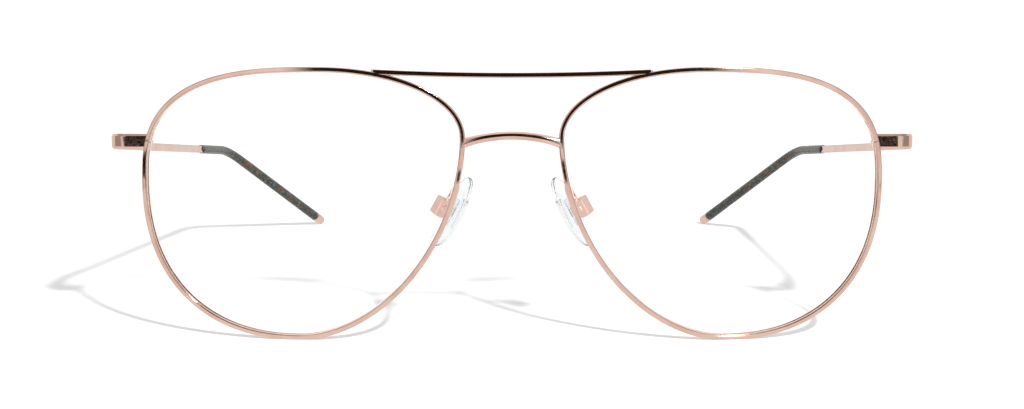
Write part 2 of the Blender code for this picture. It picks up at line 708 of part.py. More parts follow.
# ---------------------------------------------------------------- temple, sleeve and end cap
def temple_stations(start, end):
    """Distances along the temple: close together where it bends, and at every change."""
    marks = [start, end]
    run = BUTT_GAP
    for length, turn, roll in temple_run():
        count = max(1, math.ceil(length / STATION_STEP)) if turn else 1
        marks += [run + length * step / count for step in range(count + 1)]
        run += length
    marks.append(TAPER_END)
    inside = sorted(mark for mark in marks if start <= mark <= end)
    kept = inside[:1]
    for mark in inside[1:]:
        if mark - kept[-1] > STATION_STEP / 10:
            kept.append(mark)
    kept[-1] = end
    return kept


def temple_section(run, thickness, tall, cut, lift=0.0):
    """The eight corners of the temple's section at a distance along it."""
    frame = temple_at(run)
    return [frame @ Vector((x, 0, z + lift)) for x, z in chamfered(thickness, tall, cut)]


def add_temple():
    """A strip lofted from a tall flat section to a slim one, then on as a thin core."""
    sections = []
    shoulder = SLEEVE_START - STEP_GAP
    for run in temple_stations(BUTT_GAP, shoulder):
        share = min(1.0, max(0.0, (run - STRAIGHT_FRONT) / (TAPER_END - STRAIGHT_FRONT)))
        tall = TEMPLE_TALL + (TEMPLE_SLIM_TALL - TEMPLE_TALL) * share
        lift = (tall - TEMPLE_SLIM_TALL) / 2
        sections.append(temple_section(run, TEMPLE_THICKNESS, tall, END_CHAMFER, lift))
    core = 2 * CORE_RADIUS * math.cos(math.pi / 8)
    cut = core * (1 - math.tan(math.pi / 8)) / 2
    for run in temple_stations(shoulder, TEMPLE_LENGTH - CAP_LENGTH + CAP_SOCKET - STEP_GAP):
        sections.append(temple_section(run, core, core, cut))
    build = bmesh.new()
    rings = [[build.verts.new(point) for point in section] for section in sections]
    for near, far in zip(rings, rings[1:]):
        for index in range(len(near)):
            after = (index + 1) % len(near)
            build.faces.new((near[index], near[after], far[after], far[index]))
    build.faces.new(rings[0])
    build.faces.new(reversed(rings[-1]))
    bmesh.ops.recalc_face_normals(build, faces=build.faces)
    return add_mesh("temple_left", build, "rose_gold", TEMPLE_AXIS)


def add_sleeve():
    """The tip's sleeve: a slightly widening tube with a wall that leaves the core's bore."""
    start, end = SLEEVE_START, TEMPLE_LENGTH - CAP_LENGTH - STEP_GAP
    runs = temple_stations(start, end)
    points = [temple_at(run).translation for run in runs]
    shares = [(run - start) / (end - start) for run in runs]
    widen = SLEEVE_RADIUS_END - SLEEVE_RADIUS_START
    radii = [(SLEEVE_RADIUS_START + widen * share) / SLEEVE_RADIUS_END for share in shares]
    swept = add_curve("temple_tip_left", points, depth=SLEEVE_RADIUS_END, radii=radii)
    piece = curve_to_mesh("temple_tip_left", swept, "dark_acetate", TEMPLE_AXIS)
    wall = piece.modifiers.new("wall", "SOLIDIFY")
    wall.thickness = SLEEVE_RADIUS_START - SLEEVE_BORE
    wall.offset = -1
    return piece


def add_end_cap():
    """The metal cap on the tip: turned, with a socket for the core and a flat end."""
    frame = temple_at(TEMPLE_LENGTH) @ Matrix.Rotation(math.radians(-90), 4, "X")
    profile = [(0, 0), (CAP_RADIUS - CAP_ROUNDING, 0), (CAP_RADIUS, -CAP_ROUNDING),
               (CAP_RADIUS, -CAP_LENGTH), (SLEEVE_BORE, -CAP_LENGTH),
               (SLEEVE_BORE, -CAP_LENGTH + CAP_SOCKET), (0, -CAP_LENGTH + CAP_SOCKET)]
    return add_turned("tip_end_cap_left", profile, "rose_gold", TEMPLE_AXIS, frame)


# ---------------------------------------------------------------- nose pads
def pad_frame():
    """The pad's axes: X down its length, Y to the nose, Z to the back along its screw."""
    length = Vector((math.sin(PAD_LEAN), 0, -math.cos(PAD_LEAN)))
    to_nose = Vector((-math.cos(PAD_LEAN), 0, -math.sin(PAD_LEAN))) * math.cos(PAD_SPLAY)
    to_nose += Vector((0, math.sin(PAD_SPLAY), 0))
    frame = Matrix((length, to_nose, length.cross(to_nose))).transposed().to_4x4()
    frame.translation = (PAD_AXIS_X, PAD_AXIS_Y, PAD_AXIS_HEIGHT)
    return frame


PAD = pad_frame()
PAD_AXIS = add_empty("nose_pad_left_axis", PAD, ROOT)


def add_pad_arm():
    """A wire soldered up the rim's back that hooks over and comes down to the pad's box.

    It passes smoothly through its shaping points, as a Catmull-Rom curve.
    """
    def foot(height):
        x = nose_rim_x(height)
        back = dish(x, height) + WIRE_DEPTH / 2 + SOLDER_GAP + ARM_RADIUS
        return Vector((x - ARM_FOOT_INWARD, back, height))

    low, high = foot(ARM_FOOT_LOW), foot(ARM_FOOT_HIGH)
    wall = (BOX_WIDTH + BOSS_WIDTH) / 4
    top_of_box = PAD @ Vector((-BOX_LENGTH / 2 - SOLDER_GAP, -ARM_ON_BOX, -wall))
    into_box = PAD.to_3x3() @ Vector((1, 0, 0))
    crest = high + Vector((0, ARM_HOOK_BACK, ARM_HOOK_RISE))
    hang = top_of_box - into_box * ARM_HANG
    shaping = [low, low.lerp(high, 0.5), high, crest, crest.lerp(hang, 0.6), hang, top_of_box]
    points = []
    padded = [shaping[0] * 2 - shaping[1], *shaping, shaping[-1] * 2 - shaping[-2]]
    for a, b, c, d in zip(padded, padded[1:], padded[2:], padded[3:]):
        for step in range(ARM_STEPS):
            t = step / ARM_STEPS
            points.append(0.5 * (2 * b + (c - a) * t + (2 * a - 5 * b + 4 * c - d) * t ** 2
                                 + (3 * b - a - 3 * c + d) * t ** 3))
    points.append(shaping[-1])
    swept = add_curve("nose_pad_arm_left", points, depth=ARM_RADIUS)
    return curve_to_mesh("nose_pad_arm_left", swept, "rose_gold", ROOT)


def add_pad_box():
    """A small channel that holds the pad's boss between its walls, drilled for the screw."""
    web_inner = -(BOSS_RADIUS + ROCK_CLEARANCE)
    outer = box_shape((-BOX_LENGTH / 2, web_inner - BOX_WEB, -BOX_WIDTH / 2),
                      (BOX_LENGTH / 2, BOX_LIP, BOX_WIDTH / 2))
    piece = add_mesh("nose_pad_box_left", outer, "rose_gold", ROOT, PAD)
    bevel(piece, LOCK_CHAMFER)
    slot_half = BOSS_WIDTH / 2 + BOX_SLOT_CLEARANCE
    slot = box_shape((-BOX_LENGTH, web_inner, -slot_half), (BOX_LENGTH, BOX_LIP * 2, slot_half))
    combine(piece, add_mesh("nose_pad_box_slot", slot, None, ROOT, PAD), "DIFFERENCE")
    hole = rod_shape(SCREW_RADIUS + SCREW_CLEARANCE, -BOX_WIDTH, BOX_WIDTH)
    combine(piece, add_mesh("nose_pad_box_hole", hole, None, ROOT, PAD), "DIFFERENCE")
    return piece


def add_pad_insert():
    """The hard clear plate inside the pad, with the boss that the screw passes through."""
    plate_low = PAD_OUTER_FACE + PLATE_DEPTH
    plate = box_shape((-PLATE_LENGTH / 2, plate_low, -PLATE_WIDTH / 2),
                      (PLATE_LENGTH / 2, plate_low + PLATE_THICKNESS, PLATE_WIDTH / 2))
    piece = add_mesh("nose_pad_insert_left", plate, "clear_insert", PAD_AXIS)
    stem = box_shape((-BOSS_RADIUS, 0, -BOSS_WIDTH / 2),
                     (BOSS_RADIUS, plate_low + PLATE_THICKNESS / 2, BOSS_WIDTH / 2))
    combine(piece, add_mesh("nose_pad_insert_stem", stem, None, PAD_AXIS), "UNION")
    eye = rod_shape(BOSS_RADIUS, -BOSS_WIDTH / 2, BOSS_WIDTH / 2)
    combine(piece, add_mesh("nose_pad_insert_eye", eye, None, PAD_AXIS), "UNION")
    hole = rod_shape(SCREW_RADIUS + SCREW_CLEARANCE, -BOX_WIDTH, BOX_WIDTH)
    combine(piece, add_mesh("nose_pad_insert_hole", hole, None, PAD_AXIS), "DIFFERENCE")
    return piece


def add_pad():
    """A drop-shaped cushion: flat outside with a pocket for the plate, domed to the nose."""
    build = bmesh.new()
    bmesh.ops.create_uvsphere(build, u_segments=28, v_segments=12, radius=1)
    flat = PAD_THICKNESS * PAD_FLAT_SHARE
    dome = PAD_THICKNESS - flat
    for vertex in build.verts:
        x, y, z = vertex.co
        depth = dome * z if z > 0 else -flat * abs(z) ** PAD_FLATNESS
        widen = 1 + PAD_DROP * x
        vertex.co = (x * PAD_LENGTH / 2, PAD_OUTER_FACE + flat + depth, -y * widen * PAD_WIDTH / 2)
    piece = add_mesh("nose_pad_left", build, "clear_silicone", PAD_AXIS)
    grown = PAD_CLEARANCE
    plate_top = PAD_OUTER_FACE + PLATE_DEPTH + PLATE_THICKNESS
    pocket = box_shape((-PLATE_LENGTH / 2 - grown, 0, -PLATE_WIDTH / 2 - grown),
                       (PLATE_LENGTH / 2 + grown, plate_top + grown, PLATE_WIDTH / 2 + grown))
    combine(piece, add_mesh("nose_pad_pocket", pocket, None, PAD_AXIS), "DIFFERENCE")
    return piece


# ---------------------------------------------------------------- put together
RIM_CUTTER = add_rim_cutter()
RIM_CUTTER_RIGHT = add_cutter_twin(RIM_CUTTER)

fixed = [add_rim(), add_lens()]
BAR_END = upper_rim_height(BAR_REACH) + BAR_LIFT
add_cross_piece("top_bar", BAR_REACH, BAR_END, -BAR_SAG, BAR_BOW,
                chamfered(BAR_HEIGHT, BAR_DEPTH, WIRE_CHAMFER))
add_cross_piece("bridge", nose_rim_x(BRIDGE_END_HEIGHT), BRIDGE_END_HEIGHT, BRIDGE_RISE, BRIDGE_BOW,
                chamfered(BRIDGE_FACE, BRIDGE_DEPTH, BRIDGE_FACE / 4))
fixed += [
    add_end_piece(),
    add_lock_block("rim_lock_upper_left", 1),
    add_lock_block("rim_lock_lower_left", -1),
    add_screw("rim_lock_screw_left", LOCK_TALL, ROOT,
              LOCK_AXIS @ Matrix.Translation((0, 0, -LOCK_TALL / 2)) @ UPSIDE_DOWN, SOLDER_GAP),
    add_hinge_half("hinge_front_left", -1, (0, 2), FRONT_LEAF_LENGTH, ROOT, HINGE),
    add_screw("hinge_screw_left", HINGE_TALL, ROOT,
              HINGE @ Matrix.Translation((0, 0, HINGE_TALL / 2)), SOLDER_GAP),
    add_pad_arm(),
    add_pad_box(),
    add_screw("nose_pad_screw_left", BOX_WIDTH, ROOT,
              PAD @ Matrix.Translation((0, 0, -BOX_WIDTH / 2)) @ UPSIDE_DOWN, SOLDER_GAP),
]
on_temple = [
    add_temple(),
    add_sleeve(),
    add_end_cap(),
    add_hinge_half("hinge_temple_left", 1, (1,), TEMPLE_LEAF_LENGTH, TEMPLE_AXIS, Matrix.Identity(4)),
]
on_pad = [add_pad(), add_pad_insert()]

bpy.context.view_layer.update()
TEMPLE_AXIS_RIGHT = add_empty("temple_right_axis", MIRROR @ HINGE @ MIRROR, ROOT)
PAD_AXIS_RIGHT = add_empty("nose_pad_right_axis", MIRROR @ PAD @ MIRROR, ROOT)
for group, carrier in ((fixed, ROOT), (on_temple, TEMPLE_AXIS_RIGHT), (on_pad, PAD_AXIS_RIGHT)):
    for left_piece in group:
        add_twin(left_piece, carrier)

# Set the glasses down: the box stands on Z = 0 and is centred over the origin
bpy.context.view_layer.update()
lowest = Vector((math.inf,) * 3)
highest = Vector((-math.inf,) * 3)
for placed in PIECES.objects:
    if placed.type == "MESH":
        solid = placed.evaluated_get(bpy.context.evaluated_depsgraph_get())
        for vertex in solid.data.vertices:
            corner = solid.matrix_world @ vertex.co
            lowest = Vector(map(min, lowest, corner))
            highest = Vector(map(max, highest, corner))
ROOT.location = (-(lowest.x + highest.x) / 2, -(lowest.y + highest.y) / 2, -lowest.z)
bpy.context.view_layer.update()
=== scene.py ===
"""Aviator glasses in polished rose gold wire, with clear lenses, standing open on a white table.

The front faces -Y, the temples run back along +Y, and left is the wearer's left, +X. Each
left-hand piece is worked out, and its right-hand twin is the same arrays mirrored in X.
"""
import json
import math

import bmesh
import bpy
import numpy as np
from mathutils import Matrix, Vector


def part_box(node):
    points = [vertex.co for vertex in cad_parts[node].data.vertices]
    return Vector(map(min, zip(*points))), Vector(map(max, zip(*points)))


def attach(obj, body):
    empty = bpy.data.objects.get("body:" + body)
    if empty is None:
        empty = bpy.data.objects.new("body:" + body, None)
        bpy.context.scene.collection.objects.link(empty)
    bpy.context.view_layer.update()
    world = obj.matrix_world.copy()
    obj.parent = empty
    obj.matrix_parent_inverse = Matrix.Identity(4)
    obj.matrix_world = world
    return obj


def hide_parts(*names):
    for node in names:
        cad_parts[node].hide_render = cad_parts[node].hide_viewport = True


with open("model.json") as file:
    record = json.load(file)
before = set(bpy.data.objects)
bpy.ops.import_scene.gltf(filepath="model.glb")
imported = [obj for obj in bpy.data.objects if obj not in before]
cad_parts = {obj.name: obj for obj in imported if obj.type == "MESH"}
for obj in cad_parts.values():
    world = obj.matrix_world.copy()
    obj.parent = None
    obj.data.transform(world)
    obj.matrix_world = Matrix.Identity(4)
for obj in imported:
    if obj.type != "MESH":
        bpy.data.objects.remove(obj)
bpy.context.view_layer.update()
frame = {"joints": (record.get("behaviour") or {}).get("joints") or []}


# -------- table, light and camera
# A white table that runs out to white, and one small lamp high in front on the +X side. Only
# polished metal sees the bright ceiling, the walls, the dark patch ahead and the dark cards.
TABLE_SIZE = 6.0
TABLE_WHITE = 0.80
TABLE_GLOW = 0.20  # near the glasses
TABLE_FAR_GLOW = 0.62  # keeps the table white where the lamp is weak
GLOW_NEAR = 0.14
GLOW_FAR = 0.60
TABLE_IN_MIRRORS = 0.80  # how bright polished metal sees it
SIDE_IN_MIRRORS = 0.34  # and the dim strips beyond its sides
SIDE_START = 0.235
SIDE_FRONT = 0.200
SIDE_BACK = -0.040
SIDE_BLUR = 0.022
CARD_NEAR = 0.236  # dark cards lie on the table in front of the end pieces
CARD_SLANT = 0.07  # of the -X card's near edge
CARD_INNER = 0.062  # from the middle
CARD_OUTER = 0.135  # of the +X card
CARD_BLUR = 0.006
MIRROR_DARK = (0.012, 0.009, 0.008, 1)  # of the cards and the dark patch
LAMP_PLACE = (0.338, -0.860, 0.669)
LAMP_RADIUS = 0.030
LAMP_WATTS = 14.0
ROOM_WHITE = 0.62  # as matt surfaces see it
BACKDROP_WHITE = 1.12  # as the eye sees it
CEILING_WHITE = 0.95
DARK_HALF_WIDTH = 0.27  # sine of the azimuth to which the dark front reaches
DARK_SIDE_BLUR = 0.04
DARK_LOW = 0.030  # sine of the elevation where it starts
DARK_LOW_BLUR = 0.012
WALL_ENDS = (0.85, 0.70)  # brightness at the very front and the very back
WALL_STOPS = ((0.10, 0.80), (0.22, 0.38), (0.50, 0.40), (0.66, 0.85))  # and between them
CEILING_START = 0.80  # sine of the elevation where the bright ceiling starts
CEILING_FULL = 0.92
CAMERA_DISTANCE = 0.370
CAMERA_PITCH = math.radians(8.5)
CAMERA_LENS = 75.4
CAMERA_AIM_HEIGHT = 0.02415

lens_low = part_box("lens_left")[0]
LENS_THICKNESS = 0.0012
LENS_RADIUS = 0.135  # of its two spherical faces
FACE_FORM = math.radians(5.0)  # each lens leans back towards its outer side
# The dish is lowest R tan(form) towards the nose, where it stands R tan(form)^2 / 2 forwards
FRONT_Y = lens_low.y + LENS_THICKNESS / 2 + LENS_RADIUS * math.tan(FACE_FORM) ** 2 / 2


def nodes_of(tree):
    """An emptied node tree, and a maker of its nodes with values by input name."""
    tree.nodes.clear()

    def make(kind, values=(), **settings):
        node = tree.nodes.new("ShaderNode" + kind)
        for key, value in settings.items():
            setattr(node, key, value)
        for key, value in dict(values).items():
            if isinstance(value, bpy.types.NodeSocket):
                tree.links.new(value, node.inputs[key])
            else:
                node.inputs[key].default_value = value
        return node

    return make


def new_material(name):
    """An empty material, and the maker of its nodes."""
    material = bpy.data.materials.new(name)
    material.use_nodes = True
    return material, nodes_of(material.node_tree)


def add_object(name, data):
    """An object linked into the scene, at the origin and unturned."""
    added = bpy.data.objects.new(name, data)
    bpy.context.scene.collection.objects.link(added)
    return added


def grey(value):
    """An opaque grey."""
    return value, value, value, 1


def maths(make, operation, *values):
    """The result of a math node."""
    return make("Math", enumerate(values), operation=operation).outputs[0]


def blend(make, share, first, second):
    """A colour between two, by a share."""
    return make("Mix", {"Factor": share, "A": first, "B": second},
                data_type="RGBA").outputs["Result"]


def ranged(make, value, start, end, low=0.0, high=1.0, kind="LINEAR"):
    """A value that goes from low to high as another goes from start to end."""
    return make("MapRange", {"Value": value, "From Min": start, "From Max": end, "To Min": low,
                             "To Max": high}, interpolation_type=kind).outputs["Result"]


def steps_up(make, value, place, blur):
    """A mask that goes from 0 to 1 as the value passes a place."""
    return ranged(make, value, place - blur, place + blur, kind="SMOOTHSTEP")


def product(make, first, *others):
    """The product of some masks."""
    for other in others:
        first = maths(make, "MULTIPLY", first, other)
    return first


def white_table():
    """Matt white that glows a little; mirrors see it pale, with dim strips and two dark cards."""
    material, make = new_material("white_table")
    position = make("NewGeometry").outputs["Position"]
    place = make("SeparateXYZ", {0: position})
    across = place.outputs["X"]
    against = maths(make, "MULTIPLY", across, -1.0)
    ahead = maths(make, "SUBTRACT", FRONT_Y, place.outputs["Y"])
    slanted = maths(make, "SUBTRACT", ahead, maths(make, "MULTIPLY", against, CARD_SLANT))
    plus_card = product(make, steps_up(make, across, CARD_INNER, CARD_BLUR),
                        steps_up(make, against, -CARD_OUTER, CARD_BLUR),
                        steps_up(make, ahead, CARD_NEAR, CARD_BLUR))
    minus_card = product(make, steps_up(make, against, CARD_INNER, CARD_BLUR),
                         steps_up(make, slanted, CARD_NEAR, CARD_BLUR))
    cards = maths(make, "MAXIMUM", minus_card, plus_card)
    strips = product(make, steps_up(make, maths(make, "ABSOLUTE", across), SIDE_START, SIDE_BLUR),
                     steps_up(make, ahead, SIDE_BACK, SIDE_BLUR),
                     steps_up(make, maths(make, "MULTIPLY", ahead, -1.0), -SIDE_FRONT, SIDE_BLUR))
    tabletop = blend(make, strips, grey(TABLE_IN_MIRRORS), grey(SIDE_IN_MIRRORS))
    image = make("Emission", {"Color": blend(make, cards, tabletop, MIRROR_DARK), "Strength": 1.0})
    away = make("VectorMath", {0: position}, operation="LENGTH").outputs["Value"]
    strength = ranged(make, away, GLOW_NEAR, GLOW_FAR, TABLE_GLOW, TABLE_FAR_GLOW)
    glow = make("Emission", {"Color": grey(1), "Strength": strength})
    matt = make("BsdfDiffuse", {"Color": grey(TABLE_WHITE)})
    both = make("AddShader", {0: matt.outputs[0], 1: glow.outputs[0]})
    rays = make("LightPath")
    in_mirror = product(make, rays.outputs["Is Glossy Ray"],
                        maths(make, "SUBTRACT", 1.0, rays.outputs["Is Transmission Ray"]))
    mixed = make("MixShader", {0: in_mirror, 1: both.outputs[0], 2: image.outputs[0]})
    make("OutputMaterial", {"Surface": mixed.outputs[0]})
    return material


def light_the_room():
    """White all round for the eye; mirrors see a bright ceiling, walls and a dark patch ahead."""
    world = bpy.data.worlds.new("studio")
    bpy.context.scene.world = world
    world.use_nodes = True
    make = nodes_of(world.node_tree)
    way = make("SeparateXYZ", {0: make("TexCoord").outputs["Generated"]})
    up, back = way.outputs["Z"], way.outputs["Y"]
    narrow = ranged(make, maths(make, "ABSOLUTE", way.outputs["X"]),
                    DARK_HALF_WIDTH + DARK_SIDE_BLUR, DARK_HALF_WIDTH - DARK_SIDE_BLUR)
    dark = product(make, narrow, maths(make, "LESS_THAN", back, 0.0),
                   steps_up(make, up, DARK_LOW, DARK_LOW_BLUR))
    walls = make("ValToRGB", {"Fac": ranged(make, back, -1.0, 1.0)})
    ramp = walls.color_ramp
    for element, place, value in zip(ramp.elements, (0.0, 1.0), WALL_ENDS):
        element.position, element.color = place, grey(value)
    for place, value in WALL_STOPS:
        ramp.elements.new(place).color = grey(value)
    front = blend(make, dark, walls.outputs["Color"], MIRROR_DARK)
    ceiling = ranged(make, up, CEILING_START, CEILING_FULL, kind="SMOOTHSTEP")
    mirror_room = make("Background", {"Color": blend(make, ceiling, front, grey(CEILING_WHITE)),
                                      "Strength": 1.0})
    white_room = make("Background", {"Color": grey(1), "Strength": ROOM_WHITE})
    backdrop = make("Background", {"Color": grey(1), "Strength": BACKDROP_WHITE})
    rays = make("LightPath")
    reflected = maths(make, "SUBTRACT", rays.outputs["Is Glossy Ray"],
                      rays.outputs["Is Transmission Ray"])
    lit = make("MixShader", {0: rays.outputs["Is Diffuse Ray"], 1: backdrop.outputs[0],
                             2: white_room.outputs[0]})
    seen = make("MixShader", {0: reflected, 1: lit.outputs[0], 2: mirror_room.outputs[0]})
    make("OutputWorld", {"Surface": seen.outputs[0]})


light_the_room()
table = bpy.data.meshes.new("table")
corners = [(x * TABLE_SIZE / 2, y * TABLE_SIZE / 2, 0)
           for x, y in ((-1, -1), (1, -1), (1, 1), (-1, 1))]
table.from_pydata(corners, [], [(0, 1, 2, 3)])
table_top = add_object("table", table)
table.materials.append(white_table())

lamp = bpy.data.lights.new("lamp", "AREA")
lamp.shape = "DISK"
lamp.size = 2 * LAMP_RADIUS
lamp.energy = LAMP_WATTS
lamp_stand = add_object("lamp", lamp)
lamp_stand.location = LAMP_PLACE
lamp_stand.rotation_euler = (-lamp_stand.location).to_track_quat("-Z", "Y").to_euler()

camera = add_object("camera", bpy.data.cameras.new("camera"))
camera.data.lens = CAMERA_LENS
camera.data.clip_start = 0.01
camera.location = (0, FRONT_Y - CAMERA_DISTANCE * math.cos(CAMERA_PITCH),
                   CAMERA_AIM_HEIGHT + CAMERA_DISTANCE * math.sin(CAMERA_PITCH))
camera.rotation_euler = (math.pi / 2 - CAMERA_PITCH, 0, 0)
bpy.context.scene.camera = camera
bpy.context.scene.view_settings.view_transform = "Standard"


# -------- rims
# Two closed hoops of drawn wire, bent round the lens, polished and plated in rose gold. The
# inner side has a V groove for the lens, and a saw cut at the temple side lets the lens in.
WIRE_FACE = 0.00095  # rim wire seen from the front
WIRE_DEPTH = 0.0015
WIRE_CORNER = 0.00025
FLAT_EASE = 0.00002  # how far its corners' arcs run on along the flats
CUT_EDGE = WIRE_CORNER / 6  # rounding of the wire's sawn ends
GROOVE_DEPTH = 0.00022
GROOVE_WIDTH = 0.00060
SAW_CUT = 0.00006
SAW_CUT_HEIGHT = 0.0340  # above the rims' lowest centre line
NOSE_SIDE_HEIGHT = 0.0350  # height of the point nearest the nose
OUTER_SIDE_HEIGHT = 0.0272
TOP_FROM_NOSE_SIDE = 0.0244
BOTTOM_FROM_NOSE_SIDE = 0.0285
UPPER_OUTER_POWER = 2.77  # superellipse power of each quarter: above 2 is squarer
UPPER_NOSE_POWER = 2.04
LOWER_NOSE_POWER = 1.84
LOWER_OUTER_POWER = 2.30
OUTLINE_STEPS = 400  # in each quarter
RIM_RINGS = 640
ROSE_GOLD = (0.945, 0.665, 0.560, 1.0)
ROSE_GOLD_DEEP = (0.880, 0.565, 0.455, 1.0)
FINER_MARKS = 6.0  # how much finer the smears and hairlines are than the tone
HAIRLINE_DEPTH = 0.00001
CROSS_Y = (0.0, 1.0, 0.0)

rim_low, rim_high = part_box("rim_left")
NOSE_X = rim_low.x + WIRE_FACE / 2
OUTER_X = rim_high.x - WIRE_FACE / 2
BASE_Z = rim_low.z + WIRE_FACE / 2
TOP_Z = rim_high.z - WIRE_FACE / 2
TOP_X = NOSE_X + TOP_FROM_NOSE_SIDE
BOTTOM_X = NOSE_X + BOTTOM_FROM_NOSE_SIDE
NOSE_Z = BASE_Z + NOSE_SIDE_HEIGHT
OUTER_Z = BASE_Z + OUTER_SIDE_HEIGHT


def rim_outline():
    """(x, z) points of the rim's centre line, anticlockwise from its outermost point.

    Each quarter is a superellipse: |x / a| to the power plus |z / b| to the power is 1.
    """
    centre_x = np.array((TOP_X, TOP_X, BOTTOM_X, BOTTOM_X))[:, None]
    centre_z = np.array((OUTER_Z, NOSE_Z, NOSE_Z, OUTER_Z))[:, None]
    side_x = np.array((OUTER_X, NOSE_X, NOSE_X, OUTER_X))[:, None]
    level_z = np.array((TOP_Z, TOP_Z, BASE_Z, BASE_Z))[:, None]
    power = np.array((UPPER_OUTER_POWER, UPPER_NOSE_POWER, LOWER_NOSE_POWER, LOWER_OUTER_POWER))
    forward = np.linspace(0, math.pi / 2, OUTLINE_STEPS, endpoint=False)
    angle = np.where((np.arange(4) % 2)[:, None], math.pi / 2 - forward, forward)
    across = np.abs(np.cos(angle)) ** (2 / power[:, None])
    up = np.abs(np.sin(angle)) ** (2 / power[:, None])
    x = centre_x + (side_x - centre_x) * across
    z = centre_z + (level_z - centre_z) * up
    return np.column_stack((x.ravel(), z.ravel()))


OUTLINE = rim_outline()
OUTLINE_CLOSED = np.vstack((OUTLINE, OUTLINE[:1]))
OUTLINE_RUN = np.append(0, np.cumsum(np.linalg.norm(np.diff(OUTLINE_CLOSED, axis=0), axis=1)))
RIM_LENGTH = OUTLINE_RUN[-1]
CUT_RUN = np.interp(BASE_Z + SAW_CUT_HEIGHT, OUTLINE[:OUTLINE_STEPS, 1],
                    OUTLINE_RUN[:OUTLINE_STEPS])


def outline_at(run):
    """(x, z) points at distances along the rim from its saw cut."""
    along = np.mod(CUT_RUN + np.asarray(run), RIM_LENGTH)
    x = np.interp(along, OUTLINE_RUN, OUTLINE_CLOSED[:, 0])
    z = np.interp(along, OUTLINE_RUN, OUTLINE_CLOSED[:, 1])
    return np.column_stack((x, z))


def from_middle(x, z):
    """Distances across and up from the middle of the rim."""
    return x - (NOSE_X + OUTER_X) / 2, z - (BASE_Z + TOP_Z) / 2


def dish(x, z):
    """Y of the lens's middle: a lean of FACE_FORM plus a parabola of the sphere's radius."""
    across, up = from_middle(x, z)
    return FRONT_Y + across * math.tan(FACE_FORM) + (across ** 2 + up ** 2) / (2 * LENS_RADIUS)


def dish_back(x, z):
    """Directions square to the dish and backwards: its gradient taken from +Y."""
    across, up = from_middle(x, z)
    return unit(np.column_stack((-math.tan(FACE_FORM) - across / LENS_RADIUS, 0 * across + 1,
                                 -up / LENS_RADIUS)))


def unit(vectors):
    """Vectors scaled to length one."""
    return vectors / np.linalg.norm(vectors, axis=-1, keepdims=True)


def along_path(points, side_hint, closed=False):
    """(points, side, back): at each point a side square to the path and to the hint, and a back."""
    points = np.asarray(points, float)
    if closed:
        tangent = unit(np.roll(points, -1, axis=0) - np.roll(points, 1, axis=0))
    else:
        tangent = unit(np.gradient(points, axis=0, edge_order=1))
    side = unit(np.cross(np.broadcast_to(side_hint, tangent.shape), tangent))
    return points, side, np.cross(tangent, side)


def rounded_section(half_side, half_back, corner, steps=6, ease=0.0):
    """(rows, points, 2) of rectangles with round corners: four quarter arcs, joined by straights.

    With an ease, each arc runs on that far along the straights, which then shade as true flats.
    """
    given = map(np.atleast_1d, (half_side, half_back, corner))
    half_side, half_back, corner = np.broadcast_arrays(*given)
    corner = np.minimum(corner, np.minimum(half_side, half_back))
    arc = np.linspace(0, math.pi / 2, steps)
    runs_on = np.zeros(steps)
    if ease:
        arc = np.concatenate((arc[:1], arc, arc[-1:]))
        runs_on = np.concatenate(((-ease,), runs_on, (ease,)))
    angle = (np.arange(4)[:, None] * math.pi / 2 + arc).ravel()
    runs_on = np.tile(runs_on, 4)
    to_side = np.repeat((1, -1, -1, 1), len(arc))
    to_back = np.repeat((1, 1, -1, -1), len(arc))
    side = to_side * (half_side - corner)[:, None] + corner[:, None] * np.cos(angle)
    back = to_back * (half_back - corner)[:, None] + corner[:, None] * np.sin(angle)
    return np.stack((side - runs_on * np.sin(angle), back + runs_on * np.cos(angle)), axis=-1)


def carried(path, section):
    """Rings of points: each section laid in its own path point's side and back."""
    points, side, back = path
    return points[:, None] + side[:, None] * section[..., :1] + back[:, None] * section[..., 1:]


def rounded_ends(length, edge, count, steps=5):
    """Distances along a bar, and how far each section is drawn in to round off both ends.

    Each end is a quarter circle: distance edge (1 - cos a), drawn in by edge (1 - sin a).
    """
    turn = np.linspace(0, math.pi / 2, steps)
    ends = edge * (1 - np.cos(turn))
    drawn = edge * (1 - np.sin(turn))
    middle = np.linspace(edge, length - edge, count + 1)[1:-1]
    run = np.concatenate((ends, middle, length - ends[::-1]))
    return run, np.concatenate((drawn, np.zeros(len(middle)), drawn[::-1]))


def skin(rings, loop=False):
    """Points and faces of a closed shell: quads from ring to ring, each ring closed on itself.

    On a loop the last ring meets the first; otherwise a fan closes each end on its middle point.
    """
    rows, columns = rings.shape[:2]
    here = np.arange(rows * columns).reshape(rows, columns)
    beside = np.roll(here, -1, axis=1)
    quads = np.stack((here, beside, np.roll(beside, -1, axis=0), np.roll(here, -1, axis=0)),
                     axis=-1)
    points = rings.reshape(-1, 3)
    if loop:
        return points, quads.reshape(-1, 4).tolist()
    middles = np.full((2, columns), rows * columns) + np.array(((0,), (1,)))
    first = np.stack((beside[0], here[0], middles[0]), axis=-1)
    last = np.stack((here[-1], beside[-1], middles[1]), axis=-1)
    points = np.vstack((points, rings[[0, -1]].mean(axis=1)))
    return points, quads[:-1].reshape(-1, 4).tolist() + first.tolist() + last.tolist()


